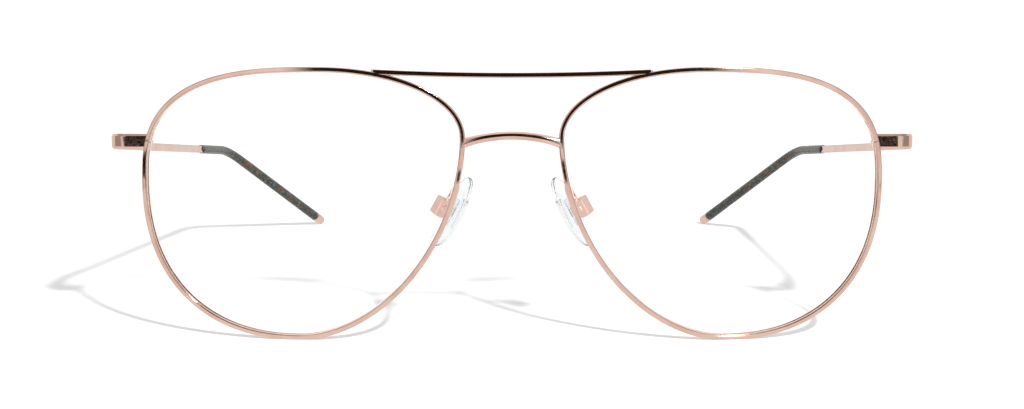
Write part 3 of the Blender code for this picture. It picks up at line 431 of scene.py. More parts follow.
def add_piece(name, shells, material, body, replaced, sharp=45):
    """One mesh object of closed shells, smooth except at sharp edges, riding on its body."""
    mesh = bpy.data.meshes.new(name)
    points, faces = [], []
    for shell_points, shell_faces in shells:
        start = sum(len(part) for part in points)
        points.append(shell_points)
        faces += [[corner + start for corner in face] for face in shell_faces]
    mesh.from_pydata(np.vstack(points).tolist(), [], faces)
    build = bmesh.new()
    build.from_mesh(mesh)
    bmesh.ops.recalc_face_normals(build, faces=build.faces)
    build.to_mesh(mesh)
    build.free()
    mesh.shade_smooth()
    mesh.set_sharp_from_angle(angle=math.radians(sharp))
    mesh.materials.append(material)
    piece = add_object(name, mesh)
    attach(piece, body)
    if replaced:
        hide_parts(*replaced)


def add_pair(name, shells, material, body, replaced=(), sharp=45):
    """The left piece and its mirrored twin; a body or node ending in _ takes the side's name."""
    for side, flip in (("left", 1.0), ("right", -1.0)):
        mirrored = [(points * (flip, 1.0, 1.0), faces) for points, faces in shells]
        on = body + side if body.endswith("_") else body
        add_piece(name + "_" + side, mirrored, material, on,
                  [node + side for node in replaced], sharp)


def polish_group():
    """Fine handling marks: slow tone, finer smears, and faint hairlines as height."""
    group = bpy.data.node_groups.new("polish", "ShaderNodeTree")
    group.interface.new_socket("Scale", in_out="INPUT", socket_type="NodeSocketFloat")
    for output in ("Tone", "Smear", "Height"):
        group.interface.new_socket(output, in_out="OUTPUT", socket_type="NodeSocketFloat")
    make = nodes_of(group)
    given = group.nodes.new("NodeGroupInput")
    place = make("TexCoord").outputs["Object"]
    scale = given.outputs["Scale"]
    finer = maths(make, "MULTIPLY", scale, FINER_MARKS)
    tone = make("TexNoise", {"Vector": place, "Scale": scale, "Detail": 3.0})
    smear = make("TexNoise", {"Vector": place, "Scale": finer, "Detail": 4.0, "Distortion": 1.5})
    stretched = make("Mapping", {"Vector": place, "Rotation": (0.4, 0.9, 0.2),
                                 "Scale": (14.0, 1.0, 1.0)})
    hair = make("TexNoise", {"Vector": stretched.outputs[0], "Scale": finer, "Detail": 2.0})
    out = group.nodes.new("NodeGroupOutput")
    group.links.new(tone.outputs["Fac"], out.inputs["Tone"])
    group.links.new(smear.outputs["Fac"], out.inputs["Smear"])
    group.links.new(hair.outputs["Fac"], out.inputs["Height"])
    return group


POLISH = polish_group()


def metal(name, colour, deep, roughest, scale, hairline):
    """Plated metal: two close tones, roughness from smears, and hairlines as a faint bump."""
    material, make = new_material(name)
    polish = make("Group", node_tree=POLISH)
    polish.inputs["Scale"].default_value = scale
    mix = blend(make, ranged(make, polish.outputs["Tone"], 0.35, 0.65), deep, colour)
    rough = ranged(make, polish.outputs["Smear"], 0.35, 0.7, roughest * 0.45, roughest)
    bump = make("Bump", {"Height": polish.outputs["Height"], "Strength": hairline,
                         "Distance": HAIRLINE_DEPTH})
    shader = make("BsdfPrincipled", {"Base Color": mix, "Roughness": rough, "Metallic": 1.0,
                                     "Normal": bump.outputs["Normal"]})
    make("OutputMaterial", {"Surface": shader.outputs[0]})
    return material


rose_gold = metal("rose_gold_plating", ROSE_GOLD, ROSE_GOLD_DEEP, roughest=0.09, scale=240.0,
                  hairline=0.05)


def front_path(x, z):
    """A path across the front that follows the dish of the lens and leans with it."""
    return along_path(np.column_stack((x, dish(x, z), z)), dish_back(x, z))


def rim_rings():
    """The wire's rounded section, with a V groove cut in its inner side, round the outline."""
    run, drawn = rounded_ends(RIM_LENGTH - SAW_CUT, CUT_EDGE, RIM_RINGS)
    x, z = outline_at(run + SAW_CUT / 2).T
    section = rounded_section(WIRE_FACE / 2 - drawn, WIRE_DEPTH / 2 - drawn, WIRE_CORNER,
                              ease=FLAT_EASE)
    half_round = section.shape[1] // 2
    inner = -WIRE_FACE / 2
    groove = np.array(((inner, GROOVE_WIDTH / 2), (inner + GROOVE_DEPTH, 0),
                       (inner, -GROOVE_WIDTH / 2)))
    groove = np.repeat(groove[None], len(run), axis=0)
    section = np.concatenate((section[:, :half_round], groove, section[:, half_round:]), axis=1)
    return carried(front_path(x, z), section)


add_pair("rim", [skin(rim_rings())], rose_gold, "front", ["rim_"], sharp=60)


# -------- lenses
# Clear lenses of moulded resin, ground to the rim's outline with a V bevel on the edge that
# snaps into the wire's groove. The coating leaves almost no reflection.
LENS_STEPS = 280
LENS_RINGS = 16
POLE_SHARE = 0.02  # size of the smallest ring
LENS_CLEARANCE = 0.00003
LENS_CLEAR = (1.0, 1.0, 1.0, 1.0)
LENS_TINGE = (0.985, 0.996, 0.992, 1.0)


def lens_rings():
    """Rings from the front pole to the back: shares of the way out, then the bevelled edge."""
    edge_x, edge_z = outline_at(np.linspace(0, RIM_LENGTH, LENS_STEPS, endpoint=False)).T
    outward = along_path(np.column_stack((edge_x, 0 * edge_x, edge_z)), CROSS_Y, closed=True)[1]
    half = LENS_THICKNESS / 2
    wire = WIRE_FACE / 2
    front = [(share, wire + 2 * LENS_CLEARANCE, -half)
             for share in np.linspace(POLE_SHARE, 1, LENS_RINGS)]
    front.append((1.0, wire + LENS_CLEARANCE, LENS_CLEARANCE - GROOVE_WIDTH / 2))
    ridge = [(1.0, wire - GROOVE_DEPTH + LENS_CLEARANCE, 0.0)]
    rings = front + ridge + [(share, inset, -depth) for share, inset, depth in reversed(front)]
    share, inset, depth = (np.array(column)[:, None] for column in zip(*rings))
    centre = np.array(((NOSE_X + OUTER_X) / 2, (BASE_Z + TOP_Z) / 2))
    x = centre[0] + share * (edge_x - outward[:, 0] * inset - centre[0])
    z = centre[1] + share * (edge_z - outward[:, 2] * inset - centre[1])
    return np.stack((x, dish(x, z) + depth, z), axis=-1)


def clear_material(name, clear, tinge, ior, smoothest, roughest, scale, shade):
    """Clear plastic that lets lamps through: its shadow is a plain pale tint."""
    material, make = new_material(name)
    polish = make("Group", node_tree=POLISH)
    polish.inputs["Scale"].default_value = scale
    mix = blend(make, polish.outputs["Tone"], clear, tinge)
    rough = ranged(make, polish.outputs["Smear"], 0.45, 0.75, smoothest, roughest)
    glass = make("BsdfPrincipled", {"Base Color": mix, "Roughness": rough, "IOR": ior,
                                    "Transmission Weight": 1.0})
    rays = make("LightPath")
    light = maths(make, "MAXIMUM", rays.outputs["Is Shadow Ray"], rays.outputs["Is Diffuse Ray"])
    shadow = make("BsdfTransparent", {"Color": grey(shade)})
    surface = make("MixShader", {0: light, 1: glass.outputs[0], 2: shadow.outputs[0]})
    make("OutputMaterial", {"Surface": surface.outputs[0]})
    return material


clear_resin = clear_material("clear_resin", LENS_CLEAR, LENS_TINGE, ior=1.15, smoothest=0.0,
                             roughest=0.004, scale=60.0, shade=0.985)
add_pair("lens", [skin(lens_rings())], clear_resin, "front", ["lens_"], sharp=30)


# -------- top bar and bridge
# Two wires join the rims: a straight bar laid on top of them with blunt ends, and a stouter
# arched bridge between their nose sides. Both are soldered, then polished with the rims.
BAR_FACE = 0.0009
BAR_DEPTH = 0.0014
BAR_CORNER = 0.00016
BAR_LIFT = 0.0004  # its end above the rim's centre line
BAR_SAG = 0.00055
BAR_BOW = 0.0005  # its middle in front of its ends
BAR_END_EDGE = 0.00025
BAR_LEAN = math.radians(9.0)  # its face looks up a little, as the rims' tops do
BRIDGE_END_HEIGHT = 0.03415
BRIDGE_RISE = 0.0014
BRIDGE_BOW = 0.0003
BRIDGE_FACE = 0.0014
BRIDGE_LEAN = math.radians(16.0)
BRIDGE_DEPTH = 0.0014
BRIDGE_CORNER = 0.00060
BRIDGE_END_EDGE = 0.0001
BAR_RINGS = 90
SOLDER_SPREAD = 0.30  # how much taller the bridge is where it meets the rim
SOLDER_LENGTH = 0.0013

BAR_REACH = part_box("top_bar")[1].x


def upper_rim_z(x):
    """Height of the rim's centre line above its nose side, on its superellipse quarter."""
    share = (TOP_X - x) / TOP_FROM_NOSE_SIDE
    return NOSE_Z + (TOP_Z - NOSE_Z) * (1 - share ** UPPER_NOSE_POWER) ** (1 / UPPER_NOSE_POWER)


def nose_rim_x(z):
    """X of the rim's centre line beside the nose, on its superellipse quarter."""
    share = (NOSE_Z - z) / (NOSE_Z - BASE_Z)
    reach = (1 - share ** LOWER_NOSE_POWER) ** (1 / LOWER_NOSE_POWER)
    return BOTTOM_X - BOTTOM_FROM_NOSE_SIDE * reach


def cross_rings(reach, end_z, rise, bow, face, depth, corner, edge, lean, spread):
    """A rounded wire along a shallow parabola from rim to rim, leaning back.

    Towards the rims its face grows taller by spread times exp(-distance / SOLDER_LENGTH).
    """
    run, drawn = rounded_ends(2 * reach, edge, BAR_RINGS)
    x = run - reach
    arch = 1 - (x / reach) ** 2
    points = np.column_stack((x, dish(reach, end_z) - bow * arch, end_z + rise * arch))
    taller = 1 + spread * np.exp((np.abs(x) - reach) / SOLDER_LENGTH)
    section = rounded_section(face / 2 * taller - drawn, depth / 2 - drawn, corner, ease=FLAT_EASE)
    return carried(along_path(points, (0.0, math.cos(lean), -math.sin(lean))), section)


bar_end_z = upper_rim_z(BAR_REACH) + BAR_LIFT
bar = cross_rings(BAR_REACH, bar_end_z, -BAR_SAG, BAR_BOW, BAR_FACE, BAR_DEPTH, BAR_CORNER,
                  BAR_END_EDGE, BAR_LEAN, 0.0)
add_piece("top_bar_wire", [skin(bar)], rose_gold, "front", ["top_bar"], sharp=60)
bridge_end_z = BASE_Z + BRIDGE_END_HEIGHT
bridge = cross_rings(nose_rim_x(bridge_end_z), bridge_end_z, BRIDGE_RISE, BRIDGE_BOW, BRIDGE_FACE,
                     BRIDGE_DEPTH, BRIDGE_CORNER, BRIDGE_END_EDGE, BRIDGE_LEAN, SOLDER_SPREAD)
add_piece("bridge_wire", [skin(bridge)], rose_gold, "front", ["bridge"], sharp=60)


# -------- end pieces
# A flat strip soldered to the rim's temple side, bent back through a right angle, and cut
# square to the temple. Its long edges are bevelled, and the bevels catch the light.
END_TALL = 0.0027
END_THICKNESS = 0.0010
END_CORNER = 0.0031  # outer radius of the turn
END_BEVEL_TALL = 0.00042  # of its long edges, up the face
END_BEVEL_THICK = 0.00028  # and into its thickness
BEVEL_SOFTNESS = 0.12  # of each bevel, rounding its own edges
END_SET_BACK = 0.00025
BUTT_GAP = 0.00005
END_BEND_STEPS = 28
END_STRAIGHT_STEPS = 12

left_fold = next(joint for joint in frame["joints"] if joint["name"] == "temple_left_fold")
HINGE_PLACE = np.array(left_fold["pos_m"])
HINGE_UP = unit(np.array(left_fold["axis"]))
HINGE_OUT = np.array((1.0, 0.0, 0.0))
HINGE_ALONG = np.cross(HINGE_UP, HINGE_OUT)
SLOPE = -HINGE_ALONG[2] / HINGE_ALONG[1]
CUT_X, CUT_Z = outline_at(0.0)[0]
END_FRONT_Y = dish(CUT_X, CUT_Z) - WIRE_DEPTH / 2 + END_SET_BACK
END_MIDDLE_Y = END_FRONT_Y + END_THICKNESS / 2
END_OUTER_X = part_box("end_piece_left")[1].x


def bevelled_section(half_side, half_back, bevel_side, bevel_back):
    """(points, 2) of a rectangle whose corners are flat bevels with softened edges."""
    soft_side, soft_back = bevel_side * BEVEL_SOFTNESS, bevel_back * BEVEL_SOFTNESS
    around = []
    for to_side, to_back, swapped in ((1, 1, False), (-1, 1, True), (-1, -1, False), (1, -1, True)):
        corner = [(half_side, half_back - bevel_back - soft_back),
                  (half_side - soft_side, half_back - bevel_back + soft_back),
                  (half_side - bevel_side + soft_side, half_back - soft_back),
                  (half_side - bevel_side - soft_side, half_back)]
        points = [(to_side * side, to_back * back) for side, back in corner]
        around += points[::-1] if swapped else points
    return np.array(around)


def end_piece_rings():
    """The strip's middle line: straight out, a quarter turn, straight back down the slope."""
    middle_radius = END_CORNER - END_THICKNESS / 2
    turn = np.linspace(0, math.pi / 2, END_BEND_STEPS)
    centre_x = END_OUTER_X - END_CORNER
    centre_y = END_FRONT_Y + END_CORNER
    corner_x = centre_x + middle_radius * np.sin(turn)
    corner_y = centre_y - middle_radius * np.cos(turn)
    start_x = np.linspace(CUT_X, centre_x, END_STRAIGHT_STEPS, endpoint=False)
    back_y = HINGE_PLACE[1] - BUTT_GAP
    end_y = np.linspace(centre_y, back_y, END_STRAIGHT_STEPS)[1:]
    x = np.concatenate((start_x, corner_x, np.full(len(end_y), corner_x[-1])))
    y = np.concatenate((np.full(len(start_x), END_MIDDLE_Y), corner_y, end_y))
    points = np.column_stack((x, y, np.full(len(x), CUT_Z)))
    path = along_path(points, (0.0, 0.0, 1.0))
    section = bevelled_section(END_THICKNESS / 2, END_TALL / 2, END_BEVEL_THICK, END_BEVEL_TALL)
    section = np.repeat(section[None], len(x), axis=0)
    rings = carried(path, section)
    rings[..., 2] -= np.maximum(0, rings[..., 1] - END_MIDDLE_Y) * SLOPE
    # The last rings lean with the temple, so that the strip butts square against it
    lean = (rings[..., 2] - HINGE_PLACE[2]) * SLOPE
    share = np.clip((points[:, 1] - centre_y) / (back_y - centre_y), 0, 1)[:, None]
    rings[..., 1] += lean * share
    return rings


add_pair("end_piece_strip", [skin(end_piece_rings())], rose_gold, "front",
         ["end_piece_"], sharp=12)


# -------- rim locks
# Behind each end piece two small soldered blocks close the rim's saw cut. A slotted screw
# passes up through the lower block and pulls the upper one down to it.
LOCK_EDGE = 0.00016
LEAST_CORNER_PART = 8  # a block's corners keep an eighth of its edge at its ends
EASE_PART = 12  # and run on along its flats by a twelfth
SCREW_RADIUS = 0.00045
HEAD_RADIUS = 0.00085
HEAD_TALL = 0.0003
HEAD_EDGE = 0.0001
SEAT_EDGE = 0.00002  # where the head's side meets the slot's floor
UNDERSIDE_EDGE = 0.00003
SHANK_EDGE = 0.00006
SLOT_WIDTH = 0.0002
SLOT_DEPTH = 0.00018
TURN_STEPS = 48
SCREW_METAL = (0.90, 0.70, 0.62, 1.0)
SCREW_DEEP = (0.70, 0.50, 0.43, 1.0)
AXES = np.eye(4)

screw_metal = metal("screw_plating", SCREW_METAL, SCREW_DEEP, roughest=0.30, scale=420.0,
                    hairline=0.35)


def in_frame(points, axes):
    """Points given in a 4 by 4 frame's own axes, in the object's."""
    return points @ axes[:3, :3].T + axes[:3, 3]


def frame_at(place, along_x, along_y, along_z):
    """A 4 by 4 frame from its place and its three axes."""
    axes = np.eye(4)
    axes[:3, :3] = np.column_stack((along_x, along_y, along_z))
    axes[:3, 3] = place
    return axes


def block(low, high, edge, axes=AXES):
    """A shell of a box with round edges: a rounded section carried in X, with rounded ends."""
    low, high = np.array(low, float), np.array(high, float)
    size = high - low
    run, drawn = rounded_ends(size[0], edge, 3)
    middle = (low + high) / 2
    centre = np.column_stack((low[0] + run, np.full((len(run), 2), middle[1:])))
    corner = np.maximum(edge - drawn, edge / LEAST_CORNER_PART)
    section = rounded_section(size[1] / 2 - drawn, size[2] / 2 - drawn, corner,
                              ease=edge / EASE_PART)
    side = np.broadcast_to((0.0, 1.0, 0.0), centre.shape)
    back = np.broadcast_to((0.0, 0.0, 1.0), centre.shape)
    points, faces = skin(carried((centre, side, back), section))
    return in_frame(points, axes), faces


def turned(profile, axes, loop=False):
    """A shell of a profile of (radius, height) points turned about Z."""
    radius, height = np.array(profile, float).T
    angle = np.linspace(0, 2 * math.pi, TURN_STEPS, endpoint=False)
    x = radius[:, None] * np.cos(angle)
    y = radius[:, None] * np.sin(angle)
    rings = np.stack((x, y, np.broadcast_to(height[:, None], x.shape)), axis=-1)
    points, faces = skin(rings, loop)
    return in_frame(points, axes), faces


def screw(shank, axes):
    """Shells of a slotted screw: head and shank turned, and two half-moon lands beside the slot."""
    seat = HEAD_TALL - SLOT_DEPTH
    shells = [turned([(HEAD_RADIUS - HEAD_EDGE, seat), (HEAD_RADIUS, seat - SEAT_EDGE),
                      (HEAD_RADIUS, UNDERSIDE_EDGE), (HEAD_RADIUS - UNDERSIDE_EDGE, 0),
                      (SCREW_RADIUS, 0), (SCREW_RADIUS, SHANK_EDGE - shank),
                      (SCREW_RADIUS - SHANK_EDGE, -shank)], axes)]
    start = math.asin(SLOT_WIDTH / 2 / HEAD_RADIUS)
    arc = np.linspace(start, math.pi - start, 26)
    turn = np.linspace(0, math.pi / 2, 5)
    height = np.append(seat / 2, HEAD_TALL - HEAD_EDGE * (1 - np.sin(turn)))
    inset = np.append(0, HEAD_EDGE * (1 - np.cos(turn)))
    for half_turn in (0, math.pi):
        reach = (HEAD_RADIUS - inset)[:, None]
        x = reach * np.cos(arc + half_turn)
        y = reach * np.sin(arc + half_turn)
        rings = np.stack((x, y, np.broadcast_to(height[:, None], x.shape)), axis=-1)
        points, faces = skin(rings)
        shells.append((in_frame(points, axes), faces))
    return shells


for level in ("upper", "lower"):
    lock_low, lock_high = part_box("rim_lock_" + level + "_left")
    add_pair("lock_block_" + level, [block(lock_low, lock_high, LOCK_EDGE)], rose_gold, "front",
             ["rim_lock_" + level + "_"])
screw_low, screw_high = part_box("rim_lock_screw_left")
lock_head = np.array(((screw_low.x + screw_high.x) / 2, (screw_low.y + screw_high.y) / 2,
                      screw_low.z + HEAD_TALL))
lock_axes = frame_at(lock_head, (1, 0, 0), (0, -1, 0), (0, 0, -1))
add_pair("lock_screw", screw(screw_high.z - lock_head[2], lock_axes), screw_metal, "front",
         ["rim_lock_screw_"])


# -------- hinges
# Three-knuckle barrel hinges. The outer two knuckles belong to the end piece's leaf and the
# middle one to the temple's leaf, and a slotted screw is their axle.
HINGE_INSET = 0.0019  # axis inwards from the middle of the temple's thickness
TEMPLE_THICKNESS = 0.0010
KNUCKLE_RADIUS = 0.0011
KNUCKLE_EDGE = 0.00012
KNUCKLE_GAP = 0.00005
HINGE_TALL = 0.0022
LEAF_THICKNESS = 0.0008
LEAF_EDGE = 0.00014
LEAF_SET_BACK = 0.00015
FRONT_LEAF_LENGTH = 0.0011
TEMPLE_LEAF_LENGTH = 0.0050
SOLDER_GAP = 0.00003
BORE_CLEARANCE = 0.00004
WEB_START = 0.55  # of the knuckle's radius, where its web to the leaf starts
WEB_INSET = 0.1  # of the leaf's thickness

HINGE_AXES = frame_at(HINGE_PLACE, HINGE_OUT, HINGE_ALONG, HINGE_UP)
LEAF_OUTER = HINGE_INSET - TEMPLE_THICKNESS / 2 - SOLDER_GAP
KNUCKLE_TALL = (HINGE_TALL - 2 * KNUCKLE_GAP) / 3


def barrel(radius, bottom, top, axes):
    """A shell of a drilled cylinder with bevelled rims, for a screw."""
    bore = SCREW_RADIUS + BORE_CLEARANCE
    return turned([(bore, top), (radius - KNUCKLE_EDGE, top), (radius, top - KNUCKLE_EDGE),
                   (radius, bottom + KNUCKLE_EDGE), (radius - KNUCKLE_EDGE, bottom),
                   (bore, bottom)], axes, loop=True)


def hinge_half(side, levels, length):
    """Shells of a leaf and its drilled knuckles; side 1 runs back onto the temple, -1 forwards."""
    start = KNUCKLE_RADIUS + LEAF_SET_BACK
    near, far = sorted((side * start, side * (start + length)))
    inner = LEAF_OUTER - LEAF_THICKNESS
    shells = [block((inner, near, -HINGE_TALL / 2), (LEAF_OUTER, far, HINGE_TALL / 2), LEAF_EDGE,
                    HINGE_AXES)]
    web_near, web_far = sorted((side * KNUCKLE_RADIUS * WEB_START,
                                side * (start + LEAF_THICKNESS / 2)))
    for level in levels:
        bottom = -HINGE_TALL / 2 + level * (KNUCKLE_TALL + KNUCKLE_GAP)
        top = bottom + KNUCKLE_TALL
        shells.append(barrel(KNUCKLE_RADIUS, bottom, top, HINGE_AXES))
        shells.append(block((inner + LEAF_THICKNESS * WEB_INSET, web_near, bottom + KNUCKLE_GAP),
                            (LEAF_OUTER - KNUCKLE_GAP, web_far, top - KNUCKLE_GAP), LEAF_EDGE / 2,
                            HINGE_AXES))
    return shells


add_pair("front_hinge", hinge_half(-1, (0, 2), FRONT_LEAF_LENGTH), rose_gold, "front",
         ["hinge_front_"])
add_pair("temple_hinge", hinge_half(1, (1,), TEMPLE_LEAF_LENGTH), rose_gold, "temple_",
         ["hinge_temple_"])
hinge_head = in_frame(np.array((0, 0, HINGE_TALL / 2 + SOLDER_GAP)), HINGE_AXES)
hinge_screw_axes = frame_at(hinge_head, HINGE_OUT, HINGE_ALONG, HINGE_UP)
add_pair("hinge_axle", screw(HINGE_TALL + SOLDER_GAP, hinge_screw_axes), screw_metal, "front",
         ["hinge_screw_"])


# -------- temples
# Each temple is a flat strip at the hinge that slims from its upper edge, turns a little
# inwards, and bends down and in over the ear. Past the sleeve's start it goes on as a core wire.
TEMPLE_TALL = 0.0027
TEMPLE_SLIM_TALL = 0.0015
STRAIGHT_FRONT = 0.0080
TAPER_END = 0.0240
INWARD_TURN = math.radians(6.0)
INWARD_RADIUS = 0.0600
BEND_START = 0.0815
BEND_RADIUS = 0.0240
BEND_TURN = math.radians(28.2)
BEND_ROLL = math.radians(51.0)  # 0 bends the tip inwards, 90 degrees bends it down
TIP_LENGTH = 0.0376
TEMPLE_CORNER = 0.00024
TEMPLE_RINGS = 150
SLEEVE_START = 0.0640
CORE_RADIUS = 0.00052
CORE_START = 0.0005  # behind the sleeve's start
CORE_TAPER = 0.003
CORE_END_EDGE = 0.0001
CAP_LENGTH = 0.0030
CAP_SOCKET = 0.0022
TEMPLE_LENGTH = BEND_START + BEND_TURN * BEND_RADIUS + TIP_LENGTH
ARC_SAMPLES = 4000


def temple_line():
    """Distances, points and directions of the temple's middle line in the hinge's axes.

    The direction turns evenly through the inward turn, then evenly about the rolled bend, and
    the points are its running sum.
    """
    run = np.linspace(BUTT_GAP, TEMPLE_LENGTH, ARC_SAMPLES)
    inward = np.clip((run - STRAIGHT_FRONT) / INWARD_RADIUS, 0, INWARD_TURN)
    bend = np.clip((run - BEND_START) / BEND_RADIUS, 0, BEND_TURN)
    ahead = np.column_stack((-np.sin(inward), np.cos(inward), 0 * run))
    aside = np.column_stack((-np.cos(inward) * math.cos(BEND_ROLL),
                             -np.sin(inward) * math.cos(BEND_ROLL),
                             np.full(len(run), -math.sin(BEND_ROLL))))
    direction = np.cos(bend)[:, None] * ahead + np.sin(bend)[:, None] * aside
    step = run[1] - run[0]
    moved = np.cumsum((direction[1:] + direction[:-1]) / 2 * step, axis=0)
    start = np.array((HINGE_INSET, BUTT_GAP, (TEMPLE_SLIM_TALL - TEMPLE_TALL) / 2))
    return run, np.vstack((start, start + moved)), direction


LINE_RUN, LINE_POINTS, LINE_DIRECTION = temple_line()


def temple_path(run):
    """(points, outwards, upright) of the temple at distances along it."""
    points, ahead = (np.column_stack([np.interp(run, LINE_RUN, column) for column in line.T])
                     for line in (LINE_POINTS, LINE_DIRECTION))
    out = unit(np.cross(unit(ahead), (0.0, 0.0, 1.0)))
    turn = HINGE_AXES[:3, :3].T
    return in_frame(points, HINGE_AXES), out @ turn, np.cross(out, unit(ahead)) @ turn


def temple_rings():
    """A rounded strip, tall at the hinge and slim past the taper, then a round core."""
    end = TEMPLE_LENGTH - CAP_LENGTH + CAP_SOCKET
    run, drawn = rounded_ends(end - BUTT_GAP, CORE_END_EDGE, TEMPLE_RINGS)
    run = run + BUTT_GAP
    points, out, upright = temple_path(run)
    share = np.clip((run - STRAIGHT_FRONT) / (TAPER_END - STRAIGHT_FRONT), 0, 1)
    tall = TEMPLE_TALL + (TEMPLE_SLIM_TALL - TEMPLE_TALL) * share
    core = np.clip((run - SLEEVE_START - CORE_START) / CORE_TAPER, 0, 1)
    lift = (tall - TEMPLE_SLIM_TALL) / 2
    half_side = TEMPLE_THICKNESS / 2 * (1 - core) + CORE_RADIUS * core
    half_tall = tall / 2 * (1 - core) + CORE_RADIUS * core
    corner = TEMPLE_CORNER * (1 - core) + CORE_RADIUS * core
    section = rounded_section(half_side - drawn, half_tall - drawn, corner)
    return carried((points + upright * lift[:, None], out, upright), section)


add_pair("temple_strip", [skin(temple_rings())], rose_gold, "temple_", ["temple_"])


# -------- temple tip sleeves
# A slim sleeve of dark mottled acetate is pushed over each temple's core wire. Its front end
# is cut on a slant, and it widens a little to the cap.
SLEEVE_RADIUS_START = 0.00088
SLEEVE_RADIUS_END = 0.00100
SLEEVE_RINGS = 90
SLEEVE_SLANT = 0.0009
SLANT_FADE = 0.004
SLEEVE_EDGE = 0.00022
STEP_GAP = 0.00004
ACETATE_OLIVE = (0.030, 0.036, 0.028, 1.0)
ACETATE_BROWN = (0.085, 0.045, 0.022, 1.0)
ACETATE_GREY = (0.085, 0.095, 0.085, 1.0)


def acetate_material():
    """Dark acetate: olive ground with brown clouds and paler grey flecks, softly polished."""
    material, make = new_material("mottled_acetate")
    place = make("TexCoord").outputs["Object"]
    clouds = make("TexNoise", {"Vector": place, "Scale": 420.0, "Detail": 3.0, "Distortion": 0.6})
    cloudy = ranged(make, clouds.outputs["Fac"], 0.48, 0.62)
    flecks = make("TexNoise", {"Vector": place, "Scale": 1300.0, "Detail": 2.0})
    flecked = ranged(make, flecks.outputs["Fac"], 0.56, 0.68)
    ground = blend(make, cloudy, ACETATE_OLIVE, ACETATE_BROWN)
    colour = blend(make, flecked, ground, ACETATE_GREY)
    polish = make("Group", node_tree=POLISH)
    polish.inputs["Scale"].default_value = 200.0
    rough = ranged(make, polish.outputs["Smear"], 0.0, 1.0, 0.18, 0.34)
    bump = make("Bump", {"Height": polish.outputs["Height"], "Strength": 0.2,
                         "Distance": HAIRLINE_DEPTH})
    shader = make("BsdfPrincipled", {"Base Color": colour, "Roughness": rough,
                                     "Normal": bump.outputs["Normal"],
                                     "Specular IOR Level": 0.22})
    make("OutputMaterial", {"Surface": shader.outputs[0]})
    return material


mottled_acetate = acetate_material()


def sleeve_rings():
    """Circles along the temple that widen evenly; the first ones lean for the slanted cut."""
    length = TEMPLE_LENGTH - CAP_LENGTH - STEP_GAP - SLEEVE_START
    run, drawn = rounded_ends(length, SLEEVE_EDGE, SLEEVE_RINGS)
    radius = SLEEVE_RADIUS_START + (SLEEVE_RADIUS_END - SLEEVE_RADIUS_START) * run / length - drawn
    points, out, upright = temple_path(SLEEVE_START + run)
    rings = carried((points, out, upright), rounded_section(radius, radius, radius, steps=9))
    ahead = np.cross(upright, out)
    height = np.einsum("rcd,rd->rc", rings - points[:, None], upright) / SLEEVE_RADIUS_START
    fade = np.clip(1 - run / SLANT_FADE, 0, 1) ** 2
    return rings - ahead[:, None] * (height * fade[:, None] * SLEEVE_SLANT / 2)[..., None]


add_pair("tip_sleeve", [skin(sleeve_rings())], mottled_acetate, "temple_",
         ["temple_tip_"])


# -------- tip end caps
# A small turned cap in the frame's rose gold closes each sleeve and takes the core wire's
# end in its socket. It stands a hair proud of the sleeve, with a fine turned line near its mouth.
CAP_RADIUS = 0.00104
CAP_ROUNDING = 0.00030
CAP_LINE_PLACE = 0.0006
CAP_LINE_DEPTH = 0.00006
CAP_LINE_WIDTH = 0.00008
CAP_MOUTH = 0.4  # how much of the rounding its mouth has
CAP_RINGS = 40


def cap_rings():
    """Circles along the temple's last stretch, rounded at both ends, dipped at the turned line."""
    run, drawn = rounded_ends(CAP_LENGTH, CAP_ROUNDING, CAP_RINGS)
    drawn = np.where(run < CAP_LENGTH / 2, drawn * CAP_MOUTH, drawn)
    dip = CAP_LINE_DEPTH * np.exp(-((run - CAP_LINE_PLACE) / CAP_LINE_WIDTH) ** 2)
    radius = CAP_RADIUS - drawn - dip
    path = temple_path(TEMPLE_LENGTH - CAP_LENGTH + run)
    return carried(path, rounded_section(radius, radius, radius, steps=10))


add_pair("tip_cap", [skin(cap_rings())], rose_gold, "temple_", ["tip_end_cap_"])


# -------- nose pad arms and boxes
# A wire arm is soldered up the back of each rim beside the nose. It hooks over and comes down
# to a small folded channel, the box, whose walls hold the pad's boss on a slotted screw.
ARM_RADIUS = 0.00045
ARM_FOOT_LOW = 0.0222  # heights between which the arm is soldered to the rim
ARM_FOOT_HIGH = 0.0260
ARM_FOOT_INWARD = 0.00025  # its middle nearer the nose than the rim's
ARM_HOOK_RISE = 0.0007  # where it turns back over its foot
ARM_HOOK_BACK = 0.0010
ARM_HANG = 0.0010  # straight run down to the box
ARM_ON_BOX = 0.0004  # outwards from the screw's axis
ARM_INTO_BOX = 0.0002
ARM_SHAPING = 0.6  # place of the shaping point between the hook and the hang
ARM_STEPS = 14
ARM_ROUND_STEPS = 3  # rings over which its ends are rounded
ARM_ROUND_START = 0.3
BOX_LENGTH = 0.0032
BOX_WIDTH = 0.0026
BOX_WEB = 0.0005
BOX_LIP = 0.0009
BOX_EDGE = 0.00014
BOSS_RADIUS = 0.00085
BOSS_WIDTH = 0.0014
ROCK_CLEARANCE = 0.00015
SLOT_CLEARANCE = 0.00005

pad_rock = next(joint for joint in frame["joints"] if joint["name"] == "nose_pad_left_rock")
PAD_PLACE = np.array(pad_rock["pos_m"])
PAD_SCREW_WAY = unit(np.array(pad_rock["axis"]))
PAD_DOWN = unit(np.array((PAD_SCREW_WAY[2], 0.0, -PAD_SCREW_WAY[0])))
PAD_TO_NOSE = np.cross(PAD_SCREW_WAY, PAD_DOWN)
PAD_AXES = frame_at(PAD_PLACE, PAD_DOWN, PAD_TO_NOSE, PAD_SCREW_WAY)


def arm_foot(height):
    """Where the arm's middle line lies on the back of the rim at a height."""
    z = BASE_Z + height
    x = nose_rim_x(z)
    return np.array((x - ARM_FOOT_INWARD, dish(x, z) + WIRE_DEPTH / 2 + ARM_RADIUS, z))


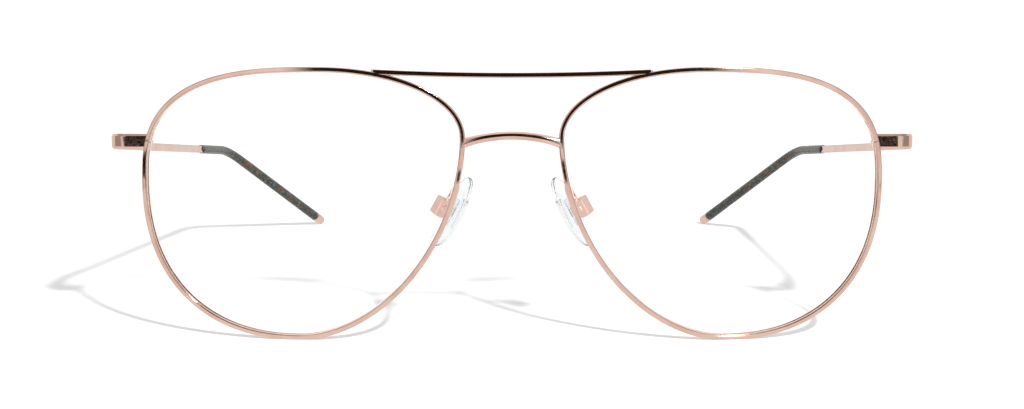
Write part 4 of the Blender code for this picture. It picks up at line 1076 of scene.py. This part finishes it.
def curve_through(shaping, steps):
    """A Catmull-Rom curve through shaping points, as one array."""
    padded = np.vstack((2 * shaping[0] - shaping[1], shaping, 2 * shaping[-1] - shaping[-2]))
    a, b, c, d = (padded[start:start + len(shaping) - 1, None] for start in range(4))
    t = (np.arange(steps) / steps)[None, :, None]
    curve = 0.5 * (2 * b + (c - a) * t + (2 * a - 5 * b + 4 * c - d) * t ** 2
                   + (3 * b - a - 3 * c + d) * t ** 3)
    return np.vstack((curve.reshape(-1, 3), shaping[-1:]))


def arm_rings():
    """The arm's round wire: up the rim, over a hook, and down into the top of the box."""
    low, high = arm_foot(ARM_FOOT_LOW), arm_foot(ARM_FOOT_HIGH)
    wall = (BOX_WIDTH + BOSS_WIDTH) / 4
    top_of_box = in_frame(np.array((-BOX_LENGTH / 2, -ARM_ON_BOX, -wall)), PAD_AXES)
    crest = high + (0.0, ARM_HOOK_BACK, ARM_HOOK_RISE)
    hang = top_of_box - PAD_DOWN * ARM_HANG
    shaping = np.array((low, (low + high) / 2, high, crest, crest + (hang - crest) * ARM_SHAPING,
                        hang, top_of_box + PAD_DOWN * ARM_INTO_BOX))
    path = along_path(curve_through(shaping, ARM_STEPS), (1.0, 0.0, 0.0))
    count = np.arange(len(path[0]))
    inwards = (np.minimum(count, count[::-1]) + ARM_ROUND_START) / ARM_ROUND_STEPS
    radius = ARM_RADIUS * np.sqrt(1 - np.clip(1 - inwards, 0, 1) ** 2)
    return carried(path, rounded_section(radius, radius, radius, steps=7))


add_pair("pad_arm", [skin(arm_rings())], rose_gold, "front", ["nose_pad_arm_"])

web_inner = -(BOSS_RADIUS + ROCK_CLEARANCE)
wall_inner = BOSS_WIDTH / 2 + SLOT_CLEARANCE
half_length = BOX_LENGTH / 2
half_width = BOX_WIDTH / 2
web_middle = web_inner - BOX_WEB / 2
box_parts = [block((-half_length, *low), (half_length, *high), BOX_EDGE, PAD_AXES)
             for low, high in (((web_inner - BOX_WEB, -half_width), (web_inner, half_width)),
                               ((web_middle, -half_width), (BOX_LIP, -wall_inner)),
                               ((web_middle, wall_inner), (BOX_LIP, half_width)))]
add_pair("pad_box", box_parts, rose_gold, "front", ["nose_pad_box_"])
pad_head = in_frame(np.array((0, 0, -half_width)), PAD_AXES)
pad_screw_axes = frame_at(pad_head, PAD_DOWN, -PAD_TO_NOSE, -PAD_SCREW_WAY)
add_pair("pad_screw", screw(BOX_WIDTH, pad_screw_axes), screw_metal, "front",
         ["nose_pad_screw_"])


# -------- nose pads
# Clear silicone cushions, drop shaped, flat outside and domed to the nose. Each is moulded
# round a clear hard plate, whose boss stands out between the box's walls.
PAD_LENGTH = 0.0136
PAD_WIDTH = 0.0074
PAD_OUTER_FACE = 0.00145  # flat side, from the screw's axis
PAD_THICKNESS = 0.0017
PAD_FLAT_SHARE = 0.35  # of the thickness, on the flat side of its widest oval
PAD_FLATNESS = 0.35  # power that flattens this side: 0 is quite flat
PAD_NARROWING = 0.12
PAD_ROWS = 40
PAD_COLUMNS = 96
PLATE_LENGTH = 0.0050
PLATE_WIDTH = 0.0026
PLATE_THICKNESS = 0.0004
PLATE_DEPTH = 0.0001
PLATE_EDGE = 0.00012
STALK_SIDE = 0.9  # half width of the stalk from plate to boss, of its radius
STALK_START = 0.6

clear_silicone = clear_material("clear_silicone", (0.88, 0.90, 0.90, 1), (0.76, 0.79, 0.80, 1),
                                ior=1.22, smoothest=0.04, roughest=0.14, scale=300.0, shade=0.80)
clear_insert = clear_material("clear_insert", (0.90, 0.92, 0.92, 1), (0.78, 0.81, 0.82, 1),
                              ior=1.30, smoothest=0.05, roughest=0.16, scale=400.0, shade=0.80)


def pad_rings():
    """Ovals from the flat side's middle to the dome's top.

    Latitude a gives radius cos a; the dome's depth is sin a, and the flat side's is
    sin a to the power of PAD_FLATNESS. The oval's width grows by PAD_NARROWING towards its
    lower end.
    """
    latitude = np.linspace(-math.pi / 2, math.pi / 2, PAD_ROWS + 2)[1:-1, None]
    around = np.linspace(0, 2 * math.pi, PAD_COLUMNS, endpoint=False)[None]
    reach = np.cos(latitude)
    down = reach * np.cos(around)
    wide = reach * np.sin(around) * (1 + PAD_NARROWING * down)
    flat = PAD_THICKNESS * PAD_FLAT_SHARE
    rise = np.sin(latitude)
    depth = np.where(rise > 0, (PAD_THICKNESS - flat) * rise, -flat * np.abs(rise) ** PAD_FLATNESS)
    to_nose = np.broadcast_to(PAD_OUTER_FACE + flat + depth, down.shape)
    rings = np.stack((down * PAD_LENGTH / 2, to_nose, wide * PAD_WIDTH / 2), axis=-1)
    return in_frame(rings, PAD_AXES)


add_pair("pad_cushion", [skin(pad_rings())], clear_silicone, "nose_pad_",
         ["nose_pad_"], sharp=60)
plate_low = PAD_OUTER_FACE + PLATE_DEPTH
boss_half = BOSS_WIDTH / 2
insert_parts = [
    block((-PLATE_LENGTH / 2, plate_low, -PLATE_WIDTH / 2),
          (PLATE_LENGTH / 2, plate_low + PLATE_THICKNESS, PLATE_WIDTH / 2), PLATE_EDGE, PAD_AXES),
    block((-BOSS_RADIUS * STALK_SIDE, BOSS_RADIUS * STALK_START, -boss_half),
          (BOSS_RADIUS * STALK_SIDE, plate_low + PLATE_THICKNESS / 2, boss_half), PLATE_EDGE,
          PAD_AXES),
    barrel(BOSS_RADIUS, -boss_half, boss_half, PAD_AXES),
]
add_pair("pad_plate", insert_parts, clear_insert, "nose_pad_", ["nose_pad_insert_"])
